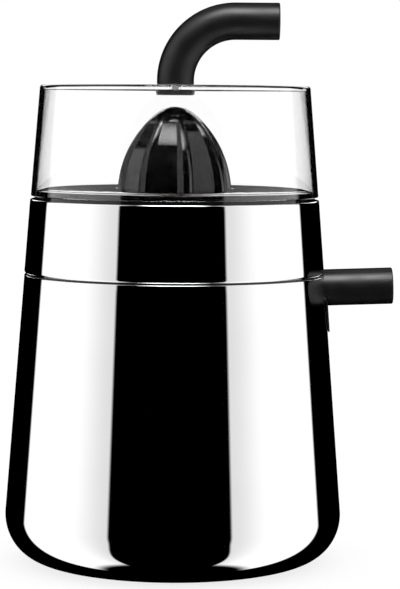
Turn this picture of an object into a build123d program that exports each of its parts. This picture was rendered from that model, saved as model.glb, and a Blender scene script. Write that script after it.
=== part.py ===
from build123d import *
from math import acos, atan, cos, degrees, hypot, pi, radians, sin, sqrt
import os

# Electric citrus press with a tilting drip-stop spout.
# Origin: on the upright axis, on the surface the press stands on. +Z up, spout and handle towards +X.

# ---------------------------------------------------------------- fits and clearances
running_gap = 0.05        # radial, a shaft in its bush
loose_gap = 0.3           # between surfaces that move past each other
lift_gap = 0.5            # around what lifts straight out
screw_gap = 0.05          # radial, a screw in its hole
seat_gap = 0.1            # round a piece that drops into its seat
overshoot = 1.0           # how far a cut runs past what it cuts
backlash = 0.12           # at the pitch circle of each gear pair

# ---------------------------------------------------------------- body
foot_height = 0.75
body_radius = 87.7
corner_width = 21.85      # bottom corner, radial
corner_height = 23.7      # bottom corner, upright
shell_top = 149.65
shell_taper = 9.75        # from the body's widest radius to the shell's top edge
shell_wall = 1.2
weld_rise = 18.0          # from the cord gland up to the weld between shell and base
lip_step = 5.0            # foot ring to the edge of the turned-in lip
lip_width = 6.5
base_thickness = 1.6      # base plate's rim, set in the recess under the lip
base_boss = 2.4           # base plate's thicker middle
foot_ring_step = 9.0      # from the tie posts' circle
foot_ring_width = 6.0
foot_ring_depth = 1.4

# ---------------------------------------------------------------- seam, ring, bowl
lip_thickness = 0.35      # deck's rim, on the shell's top edge
seam_step = 0.35          # bowl's flange, on the deck's rim
seam_recess = 0.7         # both stand back from the steel
ring_step = 0.05          # back from the shell's top edge
ring_taper = 2.9
ring_height = 38.45
ring_wall = 1.0
ring_edge = 0.7
bowl_wall = 2.5
bowl_draft = 3.3          # of its wall, from the mouth down to the floor
mouth_step = 5.9          # from the neck in to the mouth
bowl_floor = 2.4
bowl_floor_rise = 3.0
drain_step = 0.1          # from the floor down to the foot of the spout's bore
chimney_gap = 2.3         # round the deck's collar
chimney_wall = 2.2
chimney_room = 3.5        # over it, with the cone pressed down
flange_height = 2.0
shoulder_height = 2.5
neck_height = 2.7
neck_step = 2.3           # back from the ring's top
rim_height = 3.2
ledge_width = 2.6
flange_foot = 0.15        # draft of the step under the flange

# ---------------------------------------------------------------- strainer, reamer, lid, handle
strainer_thickness = 2.5
strainer_proud = 0.6      # over the bowl's rim
strainer_collar_wall = 2.0
strainer_collar_depth = 3.0
strainer_edge = 0.6
strainer_slots = 40
slot_width = 1.5
slot_margin = 2.5         # from the collar out to the inner slots
slot_bridge = 4.0         # between the two rings of slots
slot_rim = 5.3            # from the outer slots to the bowl's mouth
reamer_radius = 30.0
reamer_height = 47.4
reamer_tip_radius = 15.3
reamer_drop = 2.3         # its foot, under the strainer
skirt_height = 1.5        # up to where the cone's side starts to lean in
rib_count = 8
rib_angle = 12.5          # first rib, right of the front, in degrees
rib_width = 6.0
rib_depth = 2.4
cap_height = 7.6
skirt_wall = 2.0
cavity_height = 11.5
cavity_dome = 6.0
cavity_draft = 1.4
cavity_crown = 7.0
hub_radius = 8.2
lid_step = 0.4            # back from the ring's top
lid_taper = 4.7
lid_room = 5.7            # from the cone's tip up to the clamp disc
lid_wall = 2.5
lid_corner = 1.6
gasket_thickness = 0.8
gasket_step = 0.15        # back from the handle's foot
handle_radius = 9.6
handle_bend = 31.0
handle_reach = 22.8       # straight end past the bend
handle_rise = 1.6         # straight foot below the bend
handle_edge = 1.2
clamp_radius = 10.2
clamp_thickness = 2.5
insert_radius = 4.0
insert_length = 14.0
screw_sunk = 0.2          # handle screw's head, under the clamp disc's face
screw_end_gap = 2.0
driver_slot_size = (6.4, 0.9, 1.0)

# ---------------------------------------------------------------- spout
spout_radius = 9.5
spout_bore = 6.3
spout_depth = 2.95        # its pivot, in from the shell's top edge
spout_reach = 38.7        # from the pivot to the tip
spout_seat_gap = 0.9      # from the deck's floor up to the spout's housing
spout_slope = 2.0         # degrees, tip up
spout_edge = 0.8
housing_wall = 2.55
tongue_drop = 22.8        # its end, under the spout's axis
tongue_side = 4.0         # its sides' top, under the spout's axis
tongue_thickness = 0.85
tongue_gap = 0.25
tongue_corner = 5.0
tongue_width = 18.0
pin_radius = 1.5
pin_depth = 2.0           # into the spout's ball
cheek_thickness = 2.45
cheek_reach = 2.2         # past the pivot
roof_reach = 0.5          # housing's roof over the ball, past the pivot
mouth_back = 2.0          # the tube's room starts this far behind the pivot
seal_width = 1.9
seal_thickness = 0.35     # at its bore
tilt_sweep = 1.35         # extra room above the tube when it is tilted up

# ---------------------------------------------------------------- deck and drive
deck_well = 18.5          # depth of the deck's floor under the shell's top
deck_floor = 2.5
deck_wall = 2.0
collar_radius = 9.2
collar_height = 15.0
seal_height = 6.0
seal_outer = 6.6
seal_lip_room = 1.2
shaft_room = 0.7          # in the deck's collar
post_gap = 1.04           # from the gearbox to the nearest tie post
post_radius = 4.0
post_angles = (45, 225, 315)
screw_radius = 2.0
screw_length = 12.0
screw_head = 3.5
screw_head_height = 2.2

boss_drop = 8.0           # from the deck down to the gearbox cover
cover_plate = 3.0
gearbox_inside = 31.0
gearbox_plate = 3.0
gearbox_wall = 2.5
tip_room = 2.0            # between the gears' tips and the wall
pinion_seat = 1.5
idler_over = 1.0          # slow pinion past its wheel, and the boss past that
web_hole_circle = 14.9
web_hole_radius = 4.0
gear_module_slow = 1.0
gear_module_fast = 0.7
pinion_teeth = 10
idler_fast_teeth = 60
idler_slow_teeth = 12
output_teeth = 48
pressure_angle = 25.0
addendum = 0.85           # in modules
dedendum = 1.15           # in modules
fast_face = 6.0
slow_face = 7.0
idler_axle_radius = 2.5
idler_seat = 1.8
axle_boss_radius = 5.0
journal_radius = 6.0
journal_boss_radius = 8.0
journal_boss_height = 5.0
hub_flange_radius = 7.5
hub_flange_height = 4.0
hub_top_height = 1.0
cover_screw_circle = 20.0
cover_screw_angles = (30, 150, 270)
lug_radius = 4.5
lug_seats = ((0, 2.5, -20), (0, 2.5, 200), (1, 2.5, 45), (2, 4.0, 135))   # lobe, reach past it, angle
small_screw_radius = 1.5
small_screw_length = 14.0
small_screw_head = 2.8
small_screw_head_height = 2.0

shaft_radius = 4.5
flat_depth = 0.7          # of both hexagonal ends
shaft_grip = 15.0         # hexagon above the cone's cavity
journal_over = 4.0        # round part above the deck's collar
collar_thickness = 3.5
washer_thickness = 1.0
bush_wall = 1.95
bush_length = 10.0
bush_boss_wall = 2.5
spring_wire = 0.6
spring_radius = 6.2
spring_turns = 4.0
press_travel = 2.5

motor_radius = 24.0
motor_length = 53.0
motor_wall = 1.6
motor_shaft_radius = 2.5
motor_bush_wall = 2.45
motor_neck_radius = 6.6
motor_end_height = 3.0    # end cap, and its neck
motor_shaft_over = 1.0    # shaft past the end cap's neck
magnet_thickness = 5.0
magnet_over = 2.0         # past the armature, at each end
magnet_angle = 120.0
air_gap = 0.6             # between armature and magnets
armature_ends = 25.0      # motor's length left to windings, commutator and ends
armature_slots = 5
armature_slot_width = 3.0
armature_slot_depth = 6.0
armature_offset = 1.5     # up from the can's middle
winding_step = 3.8        # back from the armature
winding_room = 1.5        # round the shaft
winding_height = 5.0
commutator_radius = 5.5
commutator_length = 5.0
pinion_length = 7.0
pinion_bore = 1.6

switch_size = (20.0, 6.4, 9.0)
switch_drop = 15.0        # its foot, under the gearbox
button_size = (4.0, 3.0, 4.5)
bracket_wall = 2.5

gland_rise = 5.55         # above the body's bottom corner
gland_bore = 3.5
gland_radius = 6.2
gland_flange_radius = 8.0
gland_flange = 2.0
gland_sag = 0.8           # the shell's curve under the nut
gland_over = 1.0          # thread past the nut
nut_thickness = 3.5
nut_flats = 17.0
board_size = (34.0, 22.0, 1.6)
board_place = (0.0, -36.0)
board_post_radius = 2.5
board_post_height = 8.0
board_margin = 4.0        # posts from the board's edges
rectifier_size = (10.0, 10.0, 5.0)
rectifier_offset = -7.0
capacitor_radius = 5.0
capacitor_height = 12.0
capacitor_offset = 7.0

# ---------------------------------------------------------------- heights that follow
corner_centre_r = body_radius + 0.05 - corner_width
corner_centre_z = foot_height + corner_height
shell_top_radius = body_radius - shell_taper
shell_slope = (body_radius - shell_top_radius) / (shell_top - corner_centre_z)
corner_turn = degrees(atan(shell_slope * corner_height / corner_width))
gland_height = corner_centre_z + gland_rise
weld_height = gland_height + weld_rise
lip_bottom = foot_height + base_thickness
base_top = lip_bottom + base_boss
deck_top = shell_top - deck_well
deck_bottom = deck_top - deck_floor
rim_seat = shell_top + lip_thickness
ring_bottom = rim_seat + seam_step
ring_top = ring_bottom + ring_height
housing_bottom = deck_top + spout_seat_gap
notch_bottom = housing_bottom - lift_gap
spout_height = housing_bottom + tilt_sweep + loose_gap + spout_radius
bowl_floor_top = spout_height - spout_bore + drain_step
bowl_bottom = bowl_floor_top - bowl_floor
tongue_top = spout_height - tongue_side
tongue_bottom = spout_height - tongue_drop
shoulder_top = ring_top - ring_wall
lid_bottom = shoulder_top + neck_height
rim_top = lid_bottom + rim_height
ledge_top = rim_top + strainer_proud - strainer_thickness
reamer_bottom = ledge_top - reamer_drop
reamer_shoulder = reamer_bottom + skirt_height
reamer_top = reamer_bottom + reamer_height
cap_bottom = reamer_top - cap_height
cavity_shoulder = reamer_bottom + cavity_height
cavity_top = cavity_shoulder + cavity_dome
chimney_top = cavity_top - press_travel - chimney_room
shaft_top = cavity_top + shaft_grip
lid_ceiling = reamer_top + lid_room + clamp_thickness
lid_top = lid_ceiling + lid_wall
handle_foot = lid_top + gasket_thickness
bend_start = handle_foot + handle_rise
clamp_bottom = lid_ceiling - clamp_thickness
cover_top = deck_bottom - boss_drop
cover_bottom = cover_top - cover_plate
gearbox_floor = cover_bottom - gearbox_inside
gearbox_bottom = gearbox_floor - gearbox_plate
idler_bottom = gearbox_floor + idler_seat + loose_gap
slow_bottom = idler_bottom + fast_face
idler_top = slow_bottom + slow_face + 2 * idler_over
hub_bottom = gearbox_floor + journal_boss_height
web_bottom = hub_bottom + hub_flange_height
hub_top = web_bottom + slow_face + hub_top_height
washer_bottom = cover_bottom - washer_thickness
collar_bottom = washer_bottom - collar_thickness
motor_top = gearbox_bottom
motor_bottom = motor_top - motor_length
pinion_bottom = gearbox_floor + pinion_seat
switch_bottom = gearbox_bottom - switch_drop
switch_top = switch_bottom + switch_size[2]
button_top = switch_top + press_travel + lift_gap
shaft_bottom = button_top

# ---------------------------------------------------------------- radii and places that follow
ring_radius = shell_top_radius - ring_step
ring_top_radius = ring_radius - ring_taper
neck_radius = ring_top_radius - neck_step
bowl_mouth_radius = neck_radius - mouth_step
bowl_floor_radius = bowl_mouth_radius - bowl_draft
lid_foot_radius = ring_top_radius - lid_step
lid_top_radius = lid_foot_radius - lid_taper
lean_height = reamer_top - reamer_shoulder
reamer_side_radius = (reamer_radius**2 + lean_height**2 - 2 * reamer_tip_radius * lean_height) / (
    2 * (reamer_radius - reamer_tip_radius)
)
gasket_radius = handle_radius - gasket_step
spout_pivot_x = shell_top_radius - spout_depth
spout_tip_x = spout_pivot_x + spout_reach
shaft_flats = 2 * (shaft_radius - flat_depth)
chimney_bore = collar_radius + chimney_gap
can_inner = motor_radius - motor_wall
armature_radius = can_inner - magnet_thickness - air_gap
armature_length = motor_length - armature_ends
magnet_length = armature_length + 2 * magnet_over
winding_radius = armature_radius - winding_step
slow_centres = gear_module_slow * (idler_slow_teeth + output_teeth) / 2
fast_centres = gear_module_fast * (pinion_teeth + idler_fast_teeth) / 2
idler_place = (0, slow_centres)
motor_place = (-fast_centres, slow_centres)
output_tip = gear_module_slow * (output_teeth / 2 + addendum)
idler_tip = gear_module_fast * (idler_fast_teeth / 2 + addendum)
idler_lobe = idler_tip + tip_room + gearbox_wall
gearbox_lobes = (
    ((0, 0), output_tip + tip_room + gearbox_wall),
    (idler_place, idler_lobe),
    (motor_place, motor_radius),
)
post_across = slow_centres * cos(radians(post_angles[0]))
post_along = slow_centres * sin(radians(post_angles[0]))
post_circle = post_along + sqrt((idler_lobe + post_gap + post_radius) ** 2 - post_across**2)
foot_ring_radius = post_circle + foot_ring_step
lip_radius = foot_ring_radius + lip_step


def around(reach, angle, centre=(0, 0)):
    """A place at a distance and an angle in degrees from a centre."""
    return (centre[0] + reach * cos(radians(angle)), centre[1] + reach * sin(radians(angle)))


lug_places = [
    around(gearbox_lobes[lobe][1] + reach, angle, gearbox_lobes[lobe][0])
    for lobe, reach, angle in lug_seats
]
post_places = [around(post_circle, angle) for angle in post_angles]
cover_screw_places = [around(cover_screw_circle, angle) for angle in cover_screw_angles]
bush_radius = shaft_radius + running_gap + bush_wall
motor_bush_radius = motor_shaft_radius + running_gap + motor_bush_wall
chimney_radius = chimney_bore + chimney_wall
ball_gap_radius = spout_radius + loose_gap
housing_radius = ball_gap_radius + housing_wall
cheek_outer = ball_gap_radius + cheek_thickness
notch_half = cheek_outer + lift_gap
tube_room = spout_radius + tilt_sweep
strainer_radius = bowl_mouth_radius + ledge_width - lift_gap
strainer_hole = reamer_radius + 2 * lift_gap
slots_start = strainer_hole + strainer_collar_wall + slot_margin
slots_end = bowl_mouth_radius - slot_rim
slot_length = (slots_end - slots_start - slot_bridge) / 2
slot_ring_radii = (slots_start + slot_length / 2, slots_end - slot_length / 2)
seal_radius = spout_bore + seal_width
spout_axis = (cos(radians(spout_slope)), 0, sin(radians(spout_slope)))
spout_length = (spout_tip_x - spout_pivot_x) / spout_axis[0]
spout_pivot = (spout_pivot_x, 0, spout_height)


def shell_radius(z):
    """Outer radius of the body's straight side at a height."""
    return shell_top_radius + shell_slope * (shell_top - z)


def ring_outer(z):
    """Outer radius of the steel ring at a height."""
    return ring_radius - ring_taper * (z - ring_bottom) / ring_height


def lid_outer(z):
    """Outer radius of the lid's wall at a height."""
    return lid_foot_radius - lid_taper * (z - lid_bottom) / (lid_top - lid_bottom)


def bowl_inner(z):
    """Inner radius of the bowl's wall at a height."""
    return bowl_floor_radius + bowl_draft * (z - bowl_floor_top) / (ledge_top - bowl_floor_top)


def turn(*points, mode=Mode.ADD):
    """Revolve a closed outline of (radius, height) points about the upright axis."""
    with BuildSketch(Plane.XZ) as outline:
        with BuildLine():
            Polyline(*points, close=True)
        make_face()
    revolve(outline.sketch, axis=Axis.Z, mode=mode)


def rod(radius, bottom, top, places=((0, 0),), mode=Mode.ADD):
    """Upright cylinders between two heights."""
    with Locations(*[(x, y, bottom) for x, y in places]):
        Cylinder(radius, top - bottom, align=(Align.CENTER, Align.CENTER, Align.MIN), mode=mode)


def block(low, high, mode=Mode.ADD):
    """A box between its lowest and highest corners."""
    with Locations(low):
        Box(*[b - a for a, b in zip(low, high)], align=(Align.MIN, Align.MIN, Align.MIN), mode=mode)


def hexagon(flats, bottom, top, mode=Mode.ADD):
    """An upright hexagonal bar between two heights."""
    with BuildSketch(Plane.XY.offset(bottom)) as outline:
        RegularPolygon(flats / 2, 6, major_radius=False)
    extrude(outline.sketch, amount=top - bottom, mode=mode)


def cross_bar(radius, low, high, place, mode=Mode.ADD):
    """A round bar along X between two values of x, centred at (y, z)."""
    with BuildSketch(Plane.YZ.offset(low)) as outline:
        with Locations(place):
            Circle(radius)
    extrude(outline.sketch, amount=high - low, mode=mode)


def pivot_bars(radius, low, high, mode=Mode.ADD):
    """Round bars along the spout's pivot axis, one each side, between two distances from its middle."""
    for side in (-1, 1):
        place = (spout_pivot_x, side * (low + high) / 2, spout_height)
        with Locations(Location(place, (90, 0, 0))):
            Cylinder(radius, high - low, mode=mode)


def body_section(inset):
    """Half section of the body's filled form, set in from its outer surface."""
    with BuildSketch(Plane.XZ) as section:
        with BuildLine():
            floor = Line((0, foot_height + inset), (corner_centre_r, foot_height + inset))
            corner = EllipticalCenterArc(
                (corner_centre_r, corner_centre_z),
                corner_width - inset,
                corner_height - inset,
                start_angle=-90,
                arc_size=90 + corner_turn,
            )
            side = Line(corner @ 1, (shell_radius(shell_top) - inset, shell_top))
            Polyline(side @ 1, (0, shell_top), floor @ 0)
        make_face()
    return section.sketch


def reamer_section(inset, bottom):
    """Half section of the reamer's cone, set in from its outer surface."""
    lean = reamer_side_radius - reamer_radius
    tip_centre = reamer_top - reamer_tip_radius
    reach = hypot(lean, tip_centre - reamer_shoulder)
    side = reamer_side_radius - inset
    join = (-lean + side * lean / reach, reamer_shoulder + side * (tip_centre - reamer_shoulder) / reach)
    middle = acos(lean / reach) / 2
    with BuildSketch(Plane.XZ) as section:
        with BuildLine():
            skirt = Line((reamer_radius - inset, bottom), (reamer_radius - inset, reamer_shoulder))
            flank = ThreePointArc(
                skirt @ 1,
                (-lean + side * cos(middle), reamer_shoulder + side * sin(middle)),
                join,
            )
            tip = reamer_tip_radius - inset
            lean_angle = acos(join[0] / tip) / 2 + pi / 4
            nose = ThreePointArc(
                flank @ 1,
                (tip * cos(lean_angle), tip_centre + tip * sin(lean_angle)),
                (0, reamer_top - inset),
            )
            Polyline(nose @ 1, (0, bottom), skirt @ 0)
        make_face()
    return section.sketch


def gear(teeth, module, bottom, face, place, phase):
    """A spur gear with involute teeth, one tooth centred at the phase angle in degrees."""
    pitch = module * teeth / 2
    base = pitch * cos(radians(pressure_angle))
    root = pitch - dedendum * module
    tip = pitch + addendum * module
    roll = radians(pressure_angle)
    heel = root - 0.3 * module
    half = pi / (2 * teeth) - backlash / (4 * pitch) + sin(roll) / cos(roll) - roll

    def flank(radius, side):
        lean = sqrt(max((radius / base) ** 2 - 1, 0)) - acos(min(base / radius, 1))
        return (radius * cos(side * (half - lean)), radius * sin(side * (half - lean)))

    start = max(base, root)
    steps = [start + (tip - start) * step / 4 for step in range(5)]
    with BuildSketch(Plane.XY) as tooth:
        with BuildLine():
            foot = Line((heel * cos(half), -heel * sin(half)), flank(start, -1))
            right = Spline(*[flank(radius, -1) for radius in steps])
            ThreePointArc(right @ 1, (tip, 0), flank(tip, 1))
            left = Spline(*[flank(radius, 1) for radius in reversed(steps)])
            Polyline(left @ 1, (heel * cos(half), heel * sin(half)), foot @ 0)
        make_face()
    with BuildSketch(Plane.XY.offset(bottom)) as outline:
        with Locations(place):
            Circle(root)
            with PolarLocations(0, teeth, start_angle=phase):
                add(tooth.sketch)
    extrude(outline.sketch, amount=face)


def gearbox_outline(inset):
    """The gearbox's outline: the hull round its gears and its motor."""
    with BuildSketch() as outline:
        for centre, radius in gearbox_lobes:
            with Locations(centre):
                Circle(radius - inset)
        make_hull()
    return outline.sketch


pieces = []


def finish(name, piece):
    """Label a finished piece and keep it for export."""
    piece.part.label = name
    pieces.append(piece)


# ================================================================ base and body
# The shell and its base are two pressings, welded at weld_height and polished flush.
with BuildPart() as shell_form:
    with BuildSketch(Plane.XZ):
        add(body_section(0))
        add(body_section(shell_wall), mode=Mode.SUBTRACT)
        with Locations((0, 0)):
            recess_radius = lip_radius + lip_width
            Rectangle(recess_radius, lip_bottom, align=Align.MIN, mode=Mode.SUBTRACT)
        with Locations((lip_radius, lip_bottom)):
            Rectangle(lip_width + shell_wall, shell_wall, align=Align.MIN)
        with Locations((recess_radius, foot_height)):
            Rectangle(shell_wall, base_thickness, align=Align.MIN)
        with Locations((0, 0)):
            Rectangle(lip_radius, corner_centre_z, align=Align.MIN, mode=Mode.SUBTRACT)
    revolve(axis=Axis.Z)
    block(
        (0, -notch_half, notch_bottom),
        (body_radius, notch_half, shell_top + overshoot),
        mode=Mode.SUBTRACT,
    )
    with BuildSketch(Plane.XZ.offset(-lip_radius)) as gland_hole:
        with Locations((0, gland_height)):
            Circle(gland_radius + screw_gap)
    extrude(gland_hole.sketch, amount=-body_radius, mode=Mode.SUBTRACT)
for name, side in (("body_shell", Keep.TOP), ("shell_base", Keep.BOTTOM)):
    with BuildPart() as shell_piece:
        add(shell_form.part)
        split(bisect_by=Plane.XY.offset(weld_height), keep=side)
    finish(name, shell_piece)

groove_inner = foot_ring_radius - foot_ring_width / 2
groove_outer = foot_ring_radius + foot_ring_width / 2
post_x, post_y = board_size[0] / 2 - board_margin, board_size[1] / 2 - board_margin
board_posts = [
    (board_place[0] + x, board_place[1] + y) for x in (-post_x, post_x) for y in (-post_y, post_y)
]
board_bottom = base_top + board_post_height
board_top = board_bottom + board_size[2]
head_top = foot_height + screw_head_height

with BuildPart() as base_plate:
    rod(recess_radius - seat_gap, foot_height, lip_bottom)
    rod(lip_radius - seat_gap, lip_bottom, base_top)
    rod(groove_outer, foot_height, foot_height + foot_ring_depth, mode=Mode.SUBTRACT)
    rod(groove_inner, foot_height, foot_height + foot_ring_depth)
    rod(board_post_radius, base_top, board_bottom, board_posts)
    rod(screw_radius + screw_gap, foot_height, base_top, post_places, mode=Mode.SUBTRACT)
    rod(screw_head + loose_gap, foot_height, head_top, post_places, mode=Mode.SUBTRACT)
finish("base_plate", base_plate)

with BuildPart() as foot_ring:
    rod(groove_outer, 0, foot_height + foot_ring_depth)
    rod(groove_inner, 0, foot_height + foot_ring_depth, mode=Mode.SUBTRACT)
    fillet(foot_ring.edges().group_by(Axis.Z)[0], foot_height * 0.4)
finish("foot_ring", foot_ring)

with BuildPart() as tie_posts:
    rod(post_radius, base_top, deck_bottom, post_places)
    for end in (base_top, deck_bottom - screw_length):
        rod(screw_radius + screw_gap, end, end + screw_length, post_places, mode=Mode.SUBTRACT)
finish("tie_posts", tie_posts)

with BuildPart() as base_screws:
    rod(screw_head, foot_height + seat_gap, head_top, post_places)
    rod(screw_radius, head_top, head_top + screw_length, post_places)
finish("base_screws", base_screws)

gland_face = body_radius + seat_gap
gland_inside = shell_radius(gland_height) - shell_wall - gland_sag
with BuildPart() as cord_gland:
    with Locations(Plane.XZ.offset(-gland_face)):
        with Locations((0, gland_height, 0)):
            Cylinder(
                gland_flange_radius, gland_flange, align=(Align.CENTER, Align.CENTER, Align.MAX)
            )
            Cylinder(
                gland_radius,
                gland_face - gland_inside + nut_thickness + gland_over,
                align=(Align.CENTER, Align.CENTER, Align.MIN),
            )
            Cylinder(gland_bore, body_radius, mode=Mode.SUBTRACT)
    gland_rim = cord_gland.edges().filter_by(GeomType.CIRCLE).group_by(Axis.Y)[-1]
    chamfer(gland_rim.sort_by(Edge.length)[-1], gland_flange * 0.3)
finish("cord_gland", cord_gland)

with BuildPart() as gland_nut:
    with BuildSketch(Plane.XZ.offset(-gland_inside)) as nut_outline:
        with Locations((0, gland_height)):
            RegularPolygon(nut_flats / 2, 6, major_radius=False)
            Circle(gland_radius + screw_gap, mode=Mode.SUBTRACT)
    extrude(nut_outline.sketch, amount=nut_thickness)
finish("gland_nut", gland_nut)

with BuildPart() as rectifier_board:
    for (length, width, height), offset, bottom in (
        (board_size, 0.0, board_bottom),
        (rectifier_size, rectifier_offset, board_top),
    ):
        with Locations((board_place[0] + offset, board_place[1], bottom)):
            Box(length, width, height, align=(Align.CENTER, Align.CENTER, Align.MIN))
    capacitor_place = (board_place[0] + capacitor_offset, board_place[1])
    rod(capacitor_radius, board_top, board_top + capacitor_height, (capacitor_place,))
finish("rectifier_board", rectifier_board)

# ================================================================ deck
deck_screw_places = post_places + cover_screw_places
with BuildPart() as deck:
    wall_top = shell_radius(shell_top) - shell_wall - seat_gap
    wall_bottom = shell_radius(deck_bottom) - shell_wall - seat_gap
    collar_top = deck_top + collar_height
    turn(
        (0, deck_bottom),
        (wall_bottom, deck_bottom),
        (wall_top, shell_top),
        (shell_top_radius - seam_recess, shell_top),
        (shell_top_radius - seam_recess, rim_seat),
        (wall_top - deck_wall, rim_seat),
        (wall_top - deck_wall, deck_top),
        (collar_radius, deck_top),
        (collar_radius, collar_top),
        (0, collar_top),
    )
    rod(shaft_radius + shaft_room, deck_bottom, collar_top, mode=Mode.SUBTRACT)
    rod(seal_outer, collar_top - seal_height, collar_top, mode=Mode.SUBTRACT)
    block(
        (wall_top / 2, -notch_half, notch_bottom),
        (body_radius, notch_half, rim_seat + overshoot),
        mode=Mode.SUBTRACT,
    )
    rod(screw_radius + screw_gap, deck_bottom, deck_top, deck_screw_places, mode=Mode.SUBTRACT)
finish("deck", deck)

with BuildPart() as deck_screws:
    rod(screw_head, deck_top, deck_top + screw_head_height, deck_screw_places)
    rod(screw_radius, deck_bottom - screw_length + overshoot, deck_top, deck_screw_places)
finish("deck_screws", deck_screws)

with BuildPart() as shaft_seal:
    turn(
        (shaft_radius + 2 * running_gap, collar_top - seal_height),
        (seal_outer, collar_top - seal_height),
        (seal_outer, collar_top),
        (shaft_radius + seal_lip_room, collar_top),
        (shaft_radius + seal_lip_room, collar_top - seal_height / 2),
        (shaft_radius + 2 * running_gap, collar_top - seal_height / 2),
    )
finish("shaft_seal", shaft_seal)

# ================================================================ gearbox
axle_bottom = gearbox_bottom + gearbox_plate / 3
axle_top = cover_bottom + cover_plate * 2 / 3
boss_bottom = idler_top + loose_gap
small_hole_radius = small_screw_radius + screw_gap
with BuildPart() as gearbox_housing:
    with BuildSketch(Plane.XY.offset(gearbox_bottom)):
        add(gearbox_outline(0))
        with Locations(*lug_places):
            Circle(lug_radius)
    extrude(amount=gearbox_plate)
    rod(journal_boss_radius, gearbox_bottom, hub_bottom)
    rod(axle_boss_radius, gearbox_floor, gearbox_floor + idler_seat, (idler_place,))
    bracket_half = switch_size[0] / 2
    for low in (-bracket_half - bracket_wall, bracket_half):
        block(
            (low, -switch_size[1] / 2, switch_bottom - bracket_wall),
            (low + bracket_wall, switch_size[1] / 2, gearbox_bottom),
        )
    block(
        (-bracket_half, -switch_size[1] / 2, switch_bottom - bracket_wall),
        (bracket_half, switch_size[1] / 2, switch_bottom),
    )
    rod(journal_radius + running_gap, gearbox_bottom, hub_bottom, mode=Mode.SUBTRACT)
    rod(idler_axle_radius, axle_bottom, gearbox_floor + idler_seat, (idler_place,), mode=Mode.SUBTRACT)
    rod(motor_neck_radius + seat_gap, gearbox_bottom, gearbox_floor, (motor_place,), mode=Mode.SUBTRACT)
    rod(small_hole_radius, gearbox_bottom, gearbox_floor, lug_places, mode=Mode.SUBTRACT)
finish("gearbox_housing", gearbox_housing)

with BuildPart() as gearbox_cover:
    with BuildSketch(Plane.XY.offset(gearbox_floor)):
        add(gearbox_outline(0))
        with Locations(*lug_places):
            Circle(lug_radius)
    extrude(amount=cover_top - gearbox_floor)
    with BuildSketch(Plane.XY.offset(gearbox_floor)):
        add(gearbox_outline(gearbox_wall))
    extrude(amount=gearbox_inside, mode=Mode.SUBTRACT)
    rod(bush_radius + bush_boss_wall, cover_bottom, deck_bottom)
    rod(lug_radius, cover_top, deck_bottom, cover_screw_places)
    rod(axle_boss_radius, boss_bottom, cover_bottom, (idler_place,))
    rod(bush_radius, cover_bottom, deck_bottom, mode=Mode.SUBTRACT)
    rod(idler_axle_radius, boss_bottom, axle_top, (idler_place,), mode=Mode.SUBTRACT)
    screw_end = gearbox_bottom + small_screw_length
    rod(small_hole_radius, gearbox_floor, screw_end, lug_places, mode=Mode.SUBTRACT)
    screw_end = deck_bottom - screw_length + overshoot
    rod(screw_radius + screw_gap, screw_end, deck_bottom, cover_screw_places, mode=Mode.SUBTRACT)
finish("gearbox_cover", gearbox_cover)

with BuildPart() as gearbox_screws:
    rod(small_screw_head, gearbox_bottom - small_screw_head_height, gearbox_bottom, lug_places)
    rod(small_screw_radius, gearbox_bottom, gearbox_bottom + small_screw_length, lug_places)
finish("gearbox_screws", gearbox_screws)

with BuildPart() as idler_axle:
    rod(idler_axle_radius, axle_bottom, axle_top, (idler_place,))
    chamfer(idler_axle.edges(), 0.3)
finish("idler_axle", idler_axle)

with BuildPart() as idler_gear:
    fast_phase = 180 + 180 / idler_fast_teeth
    gear(idler_fast_teeth, gear_module_fast, idler_bottom, fast_face, idler_place, fast_phase)
    gear(idler_slow_teeth, gear_module_slow, slow_bottom, slow_face + idler_over, idler_place, -90)
    rod(axle_boss_radius, slow_bottom + slow_face + idler_over, idler_top, (idler_place,))
    rod(idler_axle_radius + running_gap, idler_bottom, idler_top, (idler_place,), mode=Mode.SUBTRACT)
finish("idler_gear", idler_gear)

with BuildPart() as output_gear:
    gear(output_teeth, gear_module_slow, web_bottom, slow_face, (0, 0), 90 + 180 / output_teeth)
    rod(journal_radius, axle_bottom, hub_bottom)
    rod(hub_flange_radius, hub_bottom, hub_top)
    web_holes = [around(web_hole_circle, angle) for angle in range(0, 360, 60)]
    rod(web_hole_radius, web_bottom, hub_top, web_holes, mode=Mode.SUBTRACT)
    hexagon(shaft_flats + 2 * running_gap, axle_bottom, hub_top, mode=Mode.SUBTRACT)
finish("output_gear", output_gear)

# ================================================================ shaft
journal_top = collar_top + journal_over
with BuildPart() as drive_shaft:
    hexagon(shaft_flats, shaft_bottom, collar_bottom)
    rod(hub_flange_radius, collar_bottom, washer_bottom)
    rod(shaft_radius, washer_bottom, journal_top)
    hexagon(shaft_flats, journal_top, shaft_top)
finish("drive_shaft", drive_shaft)

with BuildPart() as return_spring:
    helix_bottom = hub_top + spring_wire + 0.05
    helix_top = collar_bottom - spring_wire - 0.05
    helix_height = helix_top - helix_bottom
    with BuildLine():
        coil = Helix(helix_height / spring_turns, helix_height, spring_radius, center=(0, 0, helix_bottom))
    with BuildSketch(Plane(origin=coil @ 0, z_dir=coil % 0)):
        Circle(spring_wire)
    sweep(is_frenet=True)
finish("return_spring", return_spring)

with BuildPart() as thrust_washer:
    rod(hub_flange_radius, washer_bottom, cover_bottom)
    rod(shaft_radius + seat_gap, washer_bottom, cover_bottom, mode=Mode.SUBTRACT)
finish("thrust_washer", thrust_washer)

with BuildPart() as shaft_bush:
    rod(bush_radius, cover_bottom, cover_bottom + bush_length)
    rod(shaft_radius + running_gap, cover_bottom, cover_bottom + bush_length, mode=Mode.SUBTRACT)
finish("shaft_bush", shaft_bush)

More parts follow.
